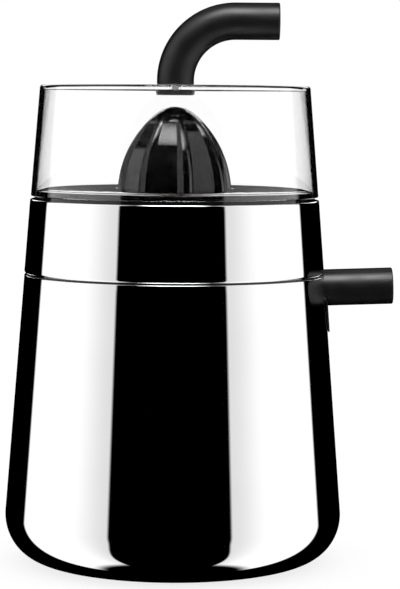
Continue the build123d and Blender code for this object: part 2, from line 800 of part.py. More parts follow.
with BuildPart() as microswitch:
    half_x, half_y = switch_size[0] / 2, switch_size[1] / 2
    block((-half_x, -half_y, switch_bottom), (half_x, half_y, switch_top))
    well_x, well_y = button_size[0] / 2 + seat_gap, button_size[1] / 2 + seat_gap
    well_bottom = button_top - button_size[2] - press_travel - loose_gap
    block((-well_x, -well_y, well_bottom), (well_x, well_y, switch_top), mode=Mode.SUBTRACT)
finish("microswitch", microswitch)

with BuildPart() as switch_button:
    block(
        (-button_size[0] / 2, -button_size[1] / 2, button_top - button_size[2]),
        (button_size[0] / 2, button_size[1] / 2, button_top),
    )
    fillet(switch_button.edges().filter_by(Axis.Z), 0.5)
finish("switch_button", switch_button)

# ================================================================ motor
motor_xy = (motor_place,)
neck_top = gearbox_floor - seat_gap
can_bottom = motor_bottom + motor_end_height
neck_bottom = motor_bottom - motor_end_height
with BuildPart() as motor_can:
    rod(motor_radius, can_bottom, motor_top, motor_xy)
    rod(motor_neck_radius, motor_top, neck_top, motor_xy)
    rod(can_inner, can_bottom, motor_top - motor_wall, motor_xy, mode=Mode.SUBTRACT)
    rod(motor_bush_radius, motor_top - motor_wall, neck_top, motor_xy, mode=Mode.SUBTRACT)
finish("motor_can", motor_can)

with BuildPart() as motor_end_cap:
    rod(motor_radius, motor_bottom, can_bottom, motor_xy)
    rod(motor_neck_radius, neck_bottom, can_bottom, motor_xy)
    rod(motor_bush_radius, neck_bottom, can_bottom, motor_xy, mode=Mode.SUBTRACT)
finish("motor_end_cap", motor_end_cap)

with BuildPart() as motor_bushes:
    for low, high in ((neck_bottom, can_bottom), (motor_top - motor_wall, neck_top)):
        rod(motor_bush_radius, low, high, motor_xy)
        rod(motor_shaft_radius + running_gap, low, high, motor_xy, mode=Mode.SUBTRACT)
finish("motor_bushes", motor_bushes)

armature_middle = (can_bottom + motor_top - motor_wall) / 2 + armature_offset
armature_low = armature_middle - armature_length / 2
armature_high = armature_middle + armature_length / 2
with BuildPart() as motor_magnets:
    with BuildSketch(Plane.XY.offset(armature_middle - magnet_length / 2)):
        for middle in (0, 180):
            start = middle - magnet_angle / 2
            with BuildLine():
                outer = CenterArc(motor_place, can_inner, start, magnet_angle)
                inner = CenterArc(motor_place, can_inner - magnet_thickness, start, magnet_angle)
                Line(outer @ 0, inner @ 0)
                Line(outer @ 1, inner @ 1)
            make_face()
    extrude(amount=magnet_length)
finish("motor_magnets", motor_magnets)

with BuildPart() as motor_shaft:
    rod(motor_shaft_radius, neck_bottom - motor_shaft_over, pinion_bottom, motor_xy)
    rod(pinion_bore, pinion_bottom, pinion_bottom + pinion_length, motor_xy)
    chamfer(motor_shaft.edges().group_by(Axis.Z)[0], 0.3)
finish("motor_shaft", motor_shaft)

with BuildPart() as armature_core:
    with BuildSketch(Plane.XY.offset(armature_low)):
        with Locations(motor_place):
            Circle(armature_radius)
            Circle(motor_shaft_radius, mode=Mode.SUBTRACT)
            with PolarLocations(armature_radius, armature_slots):
                Rectangle(2 * armature_slot_depth, armature_slot_width, mode=Mode.SUBTRACT)
    extrude(amount=armature_length)
finish("armature_core", armature_core)

with BuildPart() as armature_windings:
    for low in (armature_low - winding_height, armature_high):
        rod(winding_radius, low, low + winding_height, motor_xy)
        inner_radius = motor_shaft_radius + winding_room
        rod(inner_radius, low, low + winding_height, motor_xy, mode=Mode.SUBTRACT)
    rims = armature_windings.edges().filter_by(GeomType.CIRCLE)
    fillet(rims.filter_by(lambda rim: rim.radius > inner_radius), winding_height * 0.36)
finish("armature_windings", armature_windings)

with BuildPart() as commutator:
    commutator_top = armature_low - winding_height - lift_gap
    rod(commutator_radius, commutator_top - commutator_length, commutator_top, motor_xy)
    rod(motor_shaft_radius, commutator_top - commutator_length, commutator_top, motor_xy, mode=Mode.SUBTRACT)
finish("commutator", commutator)

with BuildPart() as motor_pinion:
    gear(pinion_teeth, gear_module_fast, pinion_bottom, pinion_length, motor_place, 0)
    rod(pinion_bore, pinion_bottom, pinion_bottom + pinion_length, motor_xy, mode=Mode.SUBTRACT)
finish("motor_pinion", motor_pinion)

# ================================================================ bowl and ring
spout_line = (0, spout_height)
seal_start = spout_pivot_x - sqrt(ball_gap_radius**2 - spout_bore**2) - seal_thickness
with BuildPart() as spout_passage:
    with Locations(Location(spout_pivot, (0, 90, 0))):
        Sphere(ball_gap_radius)
    cross_bar(tube_room, spout_pivot_x - mouth_back, body_radius, spout_line)
    cross_bar(spout_bore, bowl_floor_radius - bowl_wall, spout_pivot_x, spout_line)
    cross_bar(seal_radius, seal_start, spout_pivot_x, spout_line)

seat_start = bowl_inner(spout_height) + bowl_wall / 2
with BuildPart() as seat_roof:
    with Locations(spout_pivot):
        Sphere(housing_radius)
    block(
        (seat_start, -cheek_outer, rim_seat),
        (spout_pivot_x + roof_reach, cheek_outer, spout_height + housing_radius),
        mode=Mode.INTERSECT,
    )

with BuildPart() as bowl:
    shoulder_bottom = shoulder_top - shoulder_height
    turn(
        (chimney_bore, bowl_bottom + bowl_floor_rise),
        (bowl_inner(bowl_bottom) + bowl_wall, bowl_bottom),
        (bowl_inner(shoulder_bottom) + bowl_wall, shoulder_bottom),
        (ring_outer(shoulder_bottom) - ring_wall - seat_gap, shoulder_bottom),
        (ring_outer(shoulder_top) - ring_wall - seat_gap, shoulder_top),
        (neck_radius, shoulder_top),
        (neck_radius, lid_bottom),
        (lid_outer(lid_bottom) - lid_wall - loose_gap, lid_bottom),
        (lid_outer(rim_top) - lid_wall - loose_gap, rim_top),
        (bowl_mouth_radius + ledge_width, rim_top),
        (bowl_mouth_radius + ledge_width, ledge_top),
        (bowl_mouth_radius, ledge_top),
        (bowl_floor_radius, bowl_floor_top),
        (chimney_radius, bowl_floor_top + bowl_floor_rise),
        (chimney_radius, chimney_top),
        (chimney_bore, chimney_top),
    )
    bowl_form = bowl.part
    add(spout_passage.part, mode=Mode.SUBTRACT)
finish("bowl", bowl)

with BuildPart() as bowl_flange:
    flange_radius = ring_radius - seam_recess
    step_radius = ring_outer(ring_bottom) - ring_wall - seat_gap
    step_top = ring_bottom + flange_height
    turn(
        (bowl_inner(rim_seat) + bowl_wall, rim_seat),
        (flange_radius, rim_seat),
        (flange_radius, ring_bottom),
        (step_radius, ring_bottom),
        (step_radius - flange_foot, step_top),
        (bowl_inner(step_top) + bowl_wall, step_top),
    )
    add(seat_roof.part)
    add(bowl_form, mode=Mode.SUBTRACT)
    add(spout_passage.part, mode=Mode.SUBTRACT)
finish("bowl_flange", bowl_flange)

with BuildPart() as spout_seat:
    block(
        (seat_start, -cheek_outer, housing_bottom),
        (spout_pivot_x + cheek_reach, cheek_outer, rim_seat),
    )
    add(bowl_form, mode=Mode.SUBTRACT)
    add(spout_passage.part, mode=Mode.SUBTRACT)
    pivot_bars(pin_radius, spout_radius, cheek_outer + overshoot, mode=Mode.SUBTRACT)
finish("spout_seat", spout_seat)

with BuildPart() as bowl_ring:
    top_radius = ring_outer(ring_top)
    with BuildSketch(Plane.XZ) as ring_section:
        with BuildLine():
            Polyline(
                (ring_radius - ring_wall, ring_bottom),
                (ring_radius, ring_bottom),
                (top_radius, ring_top),
                (neck_radius + seat_gap, ring_top),
                (neck_radius + seat_gap, shoulder_top),
                (ring_outer(shoulder_top) - ring_wall, shoulder_top),
                close=True,
            )
        make_face()
        fillet(ring_section.vertices().group_by(Axis.Y)[-1].sort_by(Axis.X)[-1], ring_edge)
    revolve(axis=Axis.Z)
    cross_bar(tube_room, 0, body_radius, spout_line, mode=Mode.SUBTRACT)
finish("bowl_ring", bowl_ring)

# ================================================================ spout
spout_plane = Plane(origin=spout_pivot, x_dir=(0, 1, 0), z_dir=spout_axis)
with BuildPart() as spout_lever:
    with Locations(spout_pivot):
        Sphere(spout_radius)
    with BuildSketch(spout_plane):
        Circle(spout_radius)
    extrude(amount=spout_length)
    fillet(spout_lever.faces().sort_by(Axis.X)[-1].edges(), spout_edge)
    tube_form = spout_lever.part
    with BuildSketch(spout_plane) as spout_hole:
        Circle(spout_bore)
    extrude(spout_hole.sketch, amount=2 * spout_length, both=True, mode=Mode.SUBTRACT)
    hole_radius, hole_end = pin_radius + running_gap, spout_radius - pin_depth
    pivot_bars(hole_radius, hole_end, ball_gap_radius, mode=Mode.SUBTRACT)
finish("spout_lever", spout_lever)

with BuildPart() as spout_tongue:
    inner_bottom = shell_radius(tongue_bottom) + tongue_gap
    inner_top = shell_radius(tongue_top) + tongue_gap
    turn(
        (inner_bottom, tongue_bottom),
        (inner_bottom + tongue_thickness, tongue_bottom),
        (inner_top + tongue_thickness, tongue_top),
        (inner_top, tongue_top),
    )
    with BuildSketch(Plane.YZ) as tongue_outline:
        with Locations((0, (tongue_bottom + tongue_top) / 2)):
            Rectangle(tongue_width, tongue_top - tongue_bottom)
        fillet(tongue_outline.vertices().group_by(Axis.Z)[0], tongue_corner)
    extrude(amount=spout_tip_x, mode=Mode.INTERSECT)
    add(tube_form, mode=Mode.SUBTRACT)
finish("spout_tongue", spout_tongue)

with BuildPart() as spout_pivot_pins:
    pivot_bars(pin_radius, hole_end + seat_gap, cheek_outer)
finish("spout_pivot_pins", spout_pivot_pins)

with BuildPart() as spout_seal:
    cross_bar(seal_radius, seal_start, spout_pivot_x, spout_line)
    cross_bar(spout_bore, seal_start, spout_pivot_x, spout_line, mode=Mode.SUBTRACT)
    with Locations(spout_pivot):
        Sphere(ball_gap_radius, mode=Mode.SUBTRACT)
finish("spout_seal", spout_seal)

# ================================================================ strainer and reamer
with BuildPart() as strainer:
    rod(strainer_radius, ledge_top, ledge_top + strainer_thickness)
    collar_low = ledge_top - strainer_collar_depth
    rod(strainer_hole + strainer_collar_wall, collar_low, ledge_top)
    rod(strainer_hole, collar_low, ledge_top + strainer_thickness, mode=Mode.SUBTRACT)
    with BuildSketch(Plane.XY.offset(ledge_top)) as slots:
        for ring, radius in enumerate(slot_ring_radii):
            with PolarLocations(radius, strainer_slots, start_angle=ring * 180 / strainer_slots):
                SlotOverall(slot_length, slot_width)
    extrude(slots.sketch, amount=strainer_thickness, mode=Mode.SUBTRACT)
    fillet(strainer.edges().group_by(Axis.Z)[-1].sort_by(Edge.length)[-1], strainer_edge)
finish("strainer", strainer)

with BuildPart() as reamer:
    revolve(reamer_section(rib_depth, reamer_bottom), axis=Axis.Z)
    for step in range(rib_count):
        rib_plane = Plane.XZ.rotated((0, 0, rib_angle - 90 + 360 * step / rib_count))
        with BuildSketch(rib_plane) as rib:
            add(reamer_section(0, reamer_bottom).moved(Plane.XZ.location.inverse()))
        extrude(rib.sketch, amount=rib_width / 2, both=True)
    with BuildSketch(Plane.XZ) as cap:
        add(reamer_section(0, reamer_bottom).moved(Plane.XZ.location.inverse()))
        with Locations((0, reamer_bottom)):
            Rectangle(reamer_radius, cap_bottom - reamer_bottom, align=Align.MIN, mode=Mode.SUBTRACT)
    revolve(cap.sketch, axis=Axis.Z)
    inside = reamer_radius - rib_depth - skirt_wall
    turn(
        (hub_radius, reamer_bottom),
        (inside, reamer_bottom),
        (inside - cavity_draft, cavity_shoulder),
        (inside - cavity_crown, cavity_top),
        (hub_radius, cavity_top),
        mode=Mode.SUBTRACT,
    )
    hexagon(shaft_flats + 2 * seat_gap, reamer_bottom, shaft_top, mode=Mode.SUBTRACT)
finish("reamer", reamer)

# ================================================================ lid and handle
with BuildPart() as lid:
    with BuildSketch(Plane.XZ) as lid_section:
        with BuildLine():
            Polyline(
                (lid_foot_radius - lid_wall, lid_bottom),
                (lid_foot_radius, lid_bottom),
                (lid_top_radius, lid_top),
                (screw_radius + loose_gap, lid_top),
                (screw_radius + loose_gap, lid_ceiling),
                (lid_outer(lid_ceiling) - lid_wall, lid_ceiling),
                close=True,
            )
        make_face()
        fillet(lid_section.vertices().group_by(Axis.Y)[-1].sort_by(Axis.X)[-1], lid_corner)
    revolve(axis=Axis.Z)
finish("lid", lid)

with BuildPart() as handle_gasket:
    rod(gasket_radius, lid_top, handle_foot)
    rod(screw_radius + loose_gap, lid_top, handle_foot, mode=Mode.SUBTRACT)
finish("handle_gasket", handle_gasket)

with BuildPart() as handle:
    with BuildLine():
        foot = Line((0, 0, handle_foot), (0, 0, bend_start))
        bend = ThreePointArc(
            foot @ 1,
            (handle_bend * (1 - cos(pi / 4)), 0, bend_start + handle_bend * sin(pi / 4)),
            (handle_bend, 0, bend_start + handle_bend),
        )
        Line(bend @ 1, (handle_bend + handle_reach, 0, bend_start + handle_bend))
    with BuildSketch(Plane.XY.offset(handle_foot)):
        Circle(handle_radius)
    sweep()
    fillet(handle.faces().sort_by(Axis.X)[-1].edges(), handle_edge)
    rod(insert_radius, handle_foot, handle_foot + insert_length, mode=Mode.SUBTRACT)
finish("handle", handle)

with BuildPart() as handle_insert:
    rod(insert_radius, handle_foot, handle_foot + insert_length)
    rod(screw_radius + screw_gap, handle_foot, handle_foot + insert_length, mode=Mode.SUBTRACT)
finish("handle_insert", handle_insert)

with BuildPart() as clamp_disc:
    rod(clamp_radius, clamp_bottom, lid_ceiling)
    chamfer(clamp_disc.edges().group_by(Axis.Z)[0], 0.4)
    turn(
        (0, clamp_bottom),
        (screw_radius + clamp_thickness, clamp_bottom),
        (screw_radius + screw_gap, lid_ceiling),
        (0, lid_ceiling),
        mode=Mode.SUBTRACT,
    )
finish("clamp_disc", clamp_disc)

with BuildPart() as handle_screw:
    head_bottom = clamp_bottom + screw_sunk
    screw_end = handle_foot + insert_length - screw_end_gap
    slot_long, slot_across, slot_deep = driver_slot_size
    turn(
        (0, head_bottom),
        (screw_radius + clamp_thickness - 2 * screw_sunk, head_bottom),
        (screw_radius, lid_ceiling - screw_sunk),
        (screw_radius, screw_end),
        (0, screw_end),
    )
    with BuildSketch(Plane.XY.offset(head_bottom)) as driver_slot:
        Rectangle(slot_long, slot_across)
        Rectangle(slot_across, slot_long)
    extrude(driver_slot.sketch, amount=slot_deep, mode=Mode.SUBTRACT)
finish("handle_screw", handle_screw)

# ================================================================ export
os.makedirs("parts", exist_ok=True)
for piece in pieces:
    export_step(piece.part, f"parts/{piece.part.label}.step")
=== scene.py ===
"""Looks of the citrus press: camera, studio and every piece that shows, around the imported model."""

import logging
import math
from contextlib import contextmanager
from dataclasses import dataclass
from enum import Enum
from typing import Callable, Iterator, Sequence

import bmesh
import bpy
from mathutils import Matrix, Vector


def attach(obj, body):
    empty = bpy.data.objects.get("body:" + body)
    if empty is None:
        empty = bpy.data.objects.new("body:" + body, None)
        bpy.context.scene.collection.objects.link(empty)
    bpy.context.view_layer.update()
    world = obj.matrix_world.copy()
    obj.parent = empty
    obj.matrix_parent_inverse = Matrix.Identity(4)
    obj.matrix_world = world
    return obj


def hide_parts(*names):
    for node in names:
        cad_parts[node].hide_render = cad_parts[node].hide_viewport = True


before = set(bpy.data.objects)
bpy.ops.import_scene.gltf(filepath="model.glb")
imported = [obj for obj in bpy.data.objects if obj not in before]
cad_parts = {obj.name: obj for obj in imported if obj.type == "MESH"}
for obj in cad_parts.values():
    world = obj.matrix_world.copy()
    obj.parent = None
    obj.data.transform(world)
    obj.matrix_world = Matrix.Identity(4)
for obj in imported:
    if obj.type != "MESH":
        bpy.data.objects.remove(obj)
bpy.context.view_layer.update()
LOG = logging.getLogger("press")
Point = tuple[float, float]
Test = Callable[[Vector, Vector], bool]

# Metres in a millimetre. Every other size is in millimetres.
MM = 0.001
# Points nearer than this are one point.
DOUBLES = 0.002
# Where the spout tilts, its bore, and the radius of the room round its tube.
PIVOT = (75.0, 0.0, 143.2)
DRAIN_RADIUS = 6.3
TUBE_ROOM = 10.85
# Radius and height of the steel body's top edge.
SHELL_TOP = (77.95, 149.65)


class Slot(Enum):
    """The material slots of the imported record."""

    STEEL = "polished_steel"
    BLACK_CHROME = "black_chrome"
    BRIGHT = "bright_steel"
    BRONZE = "bronze"
    COPPER = "copper_wire"
    MAGNET = "magnet"
    BLACK = "black_plastic"
    SOFT_BLACK = "soft_black"
    GLOSS_BLACK = "gloss_black"
    GREY = "grey_plastic"
    WHITE = "white_plastic"
    RUBBER = "black_rubber"
    BOARD = "circuit_board"
    CLEAR = "clear_plastic"


# ---------------------------------------------------------------- outlines
def arc(centre: Point, radii: Point, start: float, end: float, steps: int) -> list[Point]:
    """Points along an ellipse's arc.

    Args:
        centre: the ellipse's centre, in millimetres.
        radii: its two half axes.
        start: angle of the first point, in degrees.
        end: angle of the last point.
        steps: number of runs between them.

    Returns:
        The points, both ends among them.
    """
    turns = [math.radians(start + (end - start) * step / steps) for step in range(steps + 1)]
    return [(centre[0] + radii[0] * math.cos(a), centre[1] + radii[1] * math.sin(a)) for a in turns]


def run(start: Point, end: Point, step: float) -> list[Point]:
    """Evenly spaced points on a straight line.

    Args:
        start: first point, in millimetres.
        end: last point.
        step: widest spacing allowed.

    Returns:
        The points, both ends among them.
    """
    count = max(1, math.ceil(math.dist(start, end) / step))
    return [
        (start[0] + (end[0] - start[0]) * i / count, start[1] + (end[1] - start[1]) * i / count)
        for i in range(count + 1)
    ]


def rounded(corners: Sequence[tuple[float, float, float]], steps: int = 4) -> list[Point]:
    """A closed outline whose corners are rounded.

    Args:
        corners: (radius, height, rounding) of each corner, in millimetres.
        steps: runs in each rounding.

    Returns:
        The outline's points in order.
    """
    points: list[Point] = []
    for index, (x, y, size) in enumerate(corners):
        here = Vector((x, y))
        if size <= 0:
            points.append((x, y))
            continue
        before = (Vector(corners[index - 1][:2]) - here).normalized()
        after = (Vector(corners[(index + 1) % len(corners)][:2]) - here).normalized()
        half = before.angle(after) / 2
        middle = here + (before + after).normalized() * size / math.sin(half)
        first, last = here + before * size / math.tan(half), here + after * size / math.tan(half)
        for step in range(steps + 1):
            spot = first.lerp(last, step / steps) - middle
            points.append(tuple(middle + spot.normalized() * size))
    return points


# ---------------------------------------------------------------- modelling
def deselect() -> None:
    """Leave nothing selected."""
    bpy.ops.object.select_all(action="DESELECT")


def extrude(step: Vector) -> None:
    """Pull what is selected in edit mode out by a step in millimetres."""
    bpy.ops.mesh.extrude_region_move(TRANSFORM_OT_translate={"value": step * MM})


class Workpiece:
    """One mesh, shaped with Blender's own tools. Sizes are given in millimetres."""

    def __init__(self, name: str) -> None:
        """Take the object that a primitive has just made."""
        self.body = bpy.context.object
        self.body.name = self.body.data.name = name

    @classmethod
    def wire(cls, name: str, points: Sequence[Vector]) -> "Workpiece":
        """A piece that is a chain of edges, pulled out point by point."""
        deselect()
        bpy.ops.mesh.primitive_plane_add(size=MM, location=(0, 0, 0))
        piece = cls(name)
        with piece.editing():
            bpy.ops.mesh.merge(type="CENTER")
            bpy.ops.transform.translate(value=points[0] * MM)
            for here, there in zip(points, points[1:]):
                extrude(there - here)
        return piece

    @classmethod
    def turned(cls, name: str, outline: Sequence[Point], steps: int) -> "Workpiece":
        """A piece turned about the upright axis from the outline of its half section."""
        piece = cls.wire(name, [Vector((r, 0, z)) for r, z in (*outline, outline[0])])
        piece.spin(steps)
        return piece

    @classmethod
    def box(cls, name: str, low: Sequence[float], high: Sequence[float]) -> "Workpiece":
        """A block between its lowest and its highest corner, to be shaped further."""
        deselect()
        low, high = Vector(low) * MM, Vector(high) * MM
        bpy.ops.mesh.primitive_cube_add(size=1, location=(low + high) / 2, scale=high - low)
        piece = cls(name)
        piece.settle()
        return piece

    @classmethod
    def bar(
        cls, name: str, radius: float, start: Sequence[float], end: Sequence[float], sides: int = 96
    ) -> "Workpiece":
        """A round bar between two points, to be shaped further.

        Args:
            name: the piece's name.
            radius: its radius.
            start: middle of its first face.
            end: middle of its last face.
            sides: facets round it.

        Returns:
            The new piece.
        """
        deselect()
        start, end = Vector(start) * MM, Vector(end) * MM
        turn = (end - start).to_track_quat("Z", "Y").to_euler()
        bpy.ops.mesh.primitive_cylinder_add(
            vertices=sides, radius=radius * MM, depth=(end - start).length,
            location=(start + end) / 2, rotation=turn,
        )
        piece = cls(name)
        piece.settle()
        return piece

    def activate(self) -> None:
        """Select this piece alone and make it the active one."""
        deselect()
        self.body.select_set(True)
        bpy.context.view_layer.objects.active = self.body

    @contextmanager
    def editing(self, mode: str = "VERT") -> Iterator[None]:
        """Edit mode on this piece alone, with all of its mesh selected."""
        self.activate()
        bpy.ops.object.mode_set(mode="EDIT")
        bpy.ops.mesh.select_mode(type=mode)
        bpy.ops.mesh.select_all(action="SELECT")
        yield
        bpy.ops.object.mode_set(mode="OBJECT")

    def settle(self) -> None:
        """Move the object's place, turn and scale into its mesh."""
        self.activate()
        bpy.ops.object.transform_apply(location=True, rotation=True, scale=True)

    def spin(
        self, steps: int, angle: float = 360.0,
        centre: Sequence[float] = (0, 0, 0), axis: Sequence[float] = (0, 0, 1),
    ) -> None:
        """Turn the whole mesh about an axis and close what meets.

        Args:
            steps: facets made.
            angle: sweep, in degrees.
            centre: a point on the axis.
            axis: its direction.
        """
        centre = Vector(centre) * MM
        with self.editing():
            bpy.ops.mesh.spin(steps=steps, angle=-math.radians(angle), center=centre, axis=axis)
        self.close()

    def close(self) -> None:
        """Merge doubled points and turn every face outwards."""
        with self.editing():
            bpy.ops.mesh.remove_doubles(threshold=DOUBLES * MM)
            bpy.ops.mesh.select_all(action="SELECT")
            bpy.ops.mesh.normals_make_consistent(inside=False)

    def modify(self, kind: str, **settings: object) -> None:
        """Add a modifier with its settings, and apply it."""
        self.activate()
        made = self.body.modifiers.new(kind.title(), kind)
        for key, value in settings.items():
            setattr(made, key, value)
        bpy.ops.object.modifier_apply(modifier=made.name)

    def cut(self, *cutters: "Workpiece", operation: str = "DIFFERENCE") -> None:
        """Cut this piece with other solids, or combine it with them, and throw them away."""
        for cutter in cutters:
            self.modify("BOOLEAN", object=cutter.body, operation=operation, solver="EXACT")
            bpy.data.meshes.remove(cutter.body.data)

    def soften(self, angle: float = 30.0) -> None:
        """Smooth shading across all edges flatter than an angle in degrees."""
        self.activate()
        bpy.ops.object.shade_smooth_by_angle(angle=math.radians(angle))

    def dress(self, *finishes: bpy.types.Material) -> None:
        """Give the piece its finishes, the first of them all over."""
        self.body.data.materials.clear()
        for finish in finishes:
            self.body.data.materials.append(finish)

    def paint(self, index: int, test: Test) -> None:
        """Give the faces that pass a test another of the piece's finishes.

        Args:
            index: the finish's place in the piece's list.
            test: called with a face's middle in millimetres and its normal.
        """
        with self.editing("FACE"):
            bpy.ops.mesh.select_all(action="DESELECT")
            mesh = bmesh.from_edit_mesh(self.body.data)
            for face in mesh.faces:
                if test(face.calc_center_median() / MM, face.normal):
                    face.select_set(True)
            bmesh.update_edit_mesh(self.body.data)
            self.body.active_material_index = index
            bpy.ops.object.material_slot_assign()

    def install(self, body: str, slot: Slot, node: str) -> None:
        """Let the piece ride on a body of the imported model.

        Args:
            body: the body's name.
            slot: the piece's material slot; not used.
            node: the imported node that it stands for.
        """
        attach(self.body, body)
        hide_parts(node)
        LOG.info("%s: %d faces on %s", self.body.name, len(self.body.data.polygons), body)

    def complete(self, finish: bpy.types.Material, body: str, slot: Slot, node: str) -> None:
        """Smooth the piece, give it one finish all over and install it on its body."""
        self.soften()
        self.dress(finish)
        self.install(body, slot, node)


# ---------------------------------------------------------------- shader maths
class Value:
    """A shader socket that takes part in Python expressions."""

    def __init__(self, bench: "Bench", socket: bpy.types.NodeSocket) -> None:
        """Wrap an output socket of a node on a bench."""
        self.bench, self.socket = bench, socket

    def _maths(self, operation: str, *values: "Value | float") -> "Value":
        """The result of a Math node."""
        inputs = dict(enumerate(values))
        return self.bench.node("ShaderNodeMath", {"operation": operation}, inputs)[0]

    def __add__(self, other: "Value | float") -> "Value":
        """This plus another."""
        return self._maths("ADD", self, other)

    def __sub__(self, other: "Value | float") -> "Value":
        """This minus another."""
        return self._maths("SUBTRACT", self, other)

    def __rsub__(self, other: float) -> "Value":
        """A number minus this."""
        return self._maths("SUBTRACT", other, self)

    def __mul__(self, other: "Value | float") -> "Value":
        """This times another."""
        return self._maths("MULTIPLY", self, other)

    def __abs__(self) -> "Value":
        """This without its sign."""
        return self._maths("ABSOLUTE", self)

    __radd__ = __add__
    __rmul__ = __mul__

    def most(self, other: "Value | float") -> "Value":
        """The larger of this and another."""
        return self._maths("MAXIMUM", self, other)

    def least(self, other: "Value | float") -> "Value":
        """The smaller of this and another."""
        return self._maths("MINIMUM", self, other)

    def turn_from(self, other: "Value") -> "Value":
        """The angle whose opposite side is this and whose near side is another, in degrees."""
        return self._maths("ARCTAN2", self, other) * (180 / math.pi)

    def arcsine(self) -> "Value":
        """The angle whose sine is this, in degrees."""
        return self._maths("ARCSINE", self) * (180 / math.pi)

    def rise(self, low: float, high: float, bottom: float = 0.0, top: float = 1.0) -> "Value":
        """A smooth step between two values of this.

        Args:
            low: where the step starts.
            high: where it ends.
            bottom: the result below low.
            top: the result above high.

        Returns:
            The stepped value.
        """
        settings = {"interpolation_type": "SMOOTHSTEP"}
        inputs = {"Value": self, "From Min": low, "From Max": high, "To Min": bottom, "To Max": top}
        return self.bench.node("ShaderNodeMapRange", settings, inputs)["Result"]

    def edge(self, place: float, soft: float) -> "Value":
        """A soft edge, 0 below a value of this and 1 above it."""
        return self.rise(place - soft, place + soft)


class Made:
    """A node that was made, whose outputs are read by name or number."""

    def __init__(self, bench: "Bench", node: bpy.types.Node) -> None:
        """Wrap a node on a bench."""
        self.bench, self.node = bench, node

    def __getitem__(self, key: str | int) -> Value:
        """One output of the node."""
        return Value(self.bench, self.node.outputs[key])


class Bench:
    """A node tree that shaders are built in."""

    def __init__(self, tree: bpy.types.NodeTree) -> None:
        """Start with an empty tree."""
        self.tree = tree
        tree.nodes.clear()

    def node(self, kind: str, settings: dict | None = None, inputs: dict | None = None) -> Made:
        """Make a node.

        Args:
            kind: the node's type.
            settings: properties of the node, and "stops" for a ramp's (position, colour) pairs.
            inputs: the values or links of its sockets, by name or number.

        Returns:
            The node.
        """
        made = self.tree.nodes.new(kind)
        for key, value in (settings or {}).items():
            if key == "stops":
                ramp = made.color_ramp.elements
                while len(ramp) < len(value):
                    ramp.new(0.5)
                for stop, (place, colour) in zip(ramp, value):
                    stop.position, stop.color = place, colour
            else:
                setattr(made, key, value)
        for key, value in (inputs or {}).items():
            if isinstance(value, Value):
                self.tree.links.new(value.socket, made.inputs[key])
            else:
                made.inputs[key].default_value = value
        return Made(self, made)

    def grain(self, size: Sequence[float], detail: float = 2.0, roughness: float = 0.5) -> Value:
        """Noise on the piece's own coordinates.

        Args:
            size: length of one grain along X, Y and Z, in millimetres.
            detail: octaves of finer grain.
            roughness: strength of the finer grain.

        Returns:
            The noise, about 0.5.
        """
        place = self.node("ShaderNodeTexCoord")["Object"]
        inputs = {0: place, 1: tuple(1 / (MM * length) for length in size)}
        stretched = self.node("ShaderNodeVectorMath", {"operation": "MULTIPLY"}, inputs)[0]
        inputs = {"Vector": stretched, "Scale": 1.0, "Detail": detail, "Roughness": roughness}
        return self.node("ShaderNodeTexNoise", None, inputs)[0]

    def tint(self, mask: Value, first: Sequence[float], second: Sequence[float]) -> Value:
        """A colour between two, by a mask."""
        inputs = {0: mask, 6: (*first, 1), 7: (*second, 1)}
        return self.node("ShaderNodeMix", {"data_type": "RGBA"}, inputs)[2]

    def relief(self, height: Value, depth: float) -> Value:
        """A normal that follows a height from 0 to 1, whose unit is a depth in millimetres."""
        inputs = {"Strength": 1.0, "Distance": depth * MM, "Height": height}
        return self.node("ShaderNodeBump", None, inputs)["Normal"]

    def surface(self, **sockets: "Value | float | Sequence[float]") -> Value:
        """A Principled shader, its sockets named with underscores for spaces."""
        inputs = {key.replace("_", " "): value for key, value in sockets.items()}
        return self.node("ShaderNodeBsdfPrincipled", None, inputs)[0]

    def edge_on(self, start: float, end: float, front: Value, side: Value) -> Value:
        """A shader that changes to another where the surface turns away from the eye.

        Args:
            start: how far it has turned where the change starts, from 0 to 1.
            end: how far it has turned where the change ends.
            front: the shader that is seen face-on.
            side: the shader that is seen edge-on.

        Returns:
            The mixed shader.
        """
        facing = self.node("ShaderNodeLayerWeight", None, {"Blend": 0.5})["Facing"]
        inputs = {0: facing.rise(start, end), 1: front, 2: side}
        return self.node("ShaderNodeMixShader", None, inputs)[0]

    def output(self, shader: Value, kind: str = "ShaderNodeOutputMaterial") -> None:
        """Send a shader to the tree's output."""
        self.node(kind, None, {"Surface": shader})


# ---------------------------------------------------------------- finishes
@dataclass(frozen=True)
class Finish:
    """A surface finish. Each kind says how its shader is built."""

    name: str

    def shader(self, bench: Bench) -> Value:
        """The finish's shader."""
        raise NotImplementedError

    def make(self) -> bpy.types.Material:
        """The Blender material of this finish."""
        material = bpy.data.materials.new(self.name)
        material.use_nodes = True
        bench = Bench(material.node_tree)
        bench.output(self.shader(bench))
        return material


@dataclass(frozen=True)
class PolishedMetal(Finish):
    """Mirror-polished metal with faint marks left by the polishing wheel."""

    colour: tuple[float, float, float] = (0.95, 0.95, 0.955)
    roughness: float = 0.02
    haze: float = 0.025
    mark: tuple[float, float, float] = (22.0, 22.0, 0.22)
    depth: float = 0.00003

    def shader(self, bench: Bench) -> Value:
        """Clear metal, hazier where the wheel left marks."""
        marks = bench.grain(self.mark, 3.0, 0.6)
        cloud = bench.grain((34.0, 34.0, 34.0), 2.0)
        dull = tuple(part * 0.985 for part in self.colour)
        return bench.surface(
            Base_Color=bench.tint(cloud.rise(0.35, 0.65), dull, self.colour),
            Metallic=1.0,
            Roughness=marks.rise(0.45, 0.9, self.roughness, self.roughness + self.haze),
            Normal=bench.relief(marks, self.depth),
        )


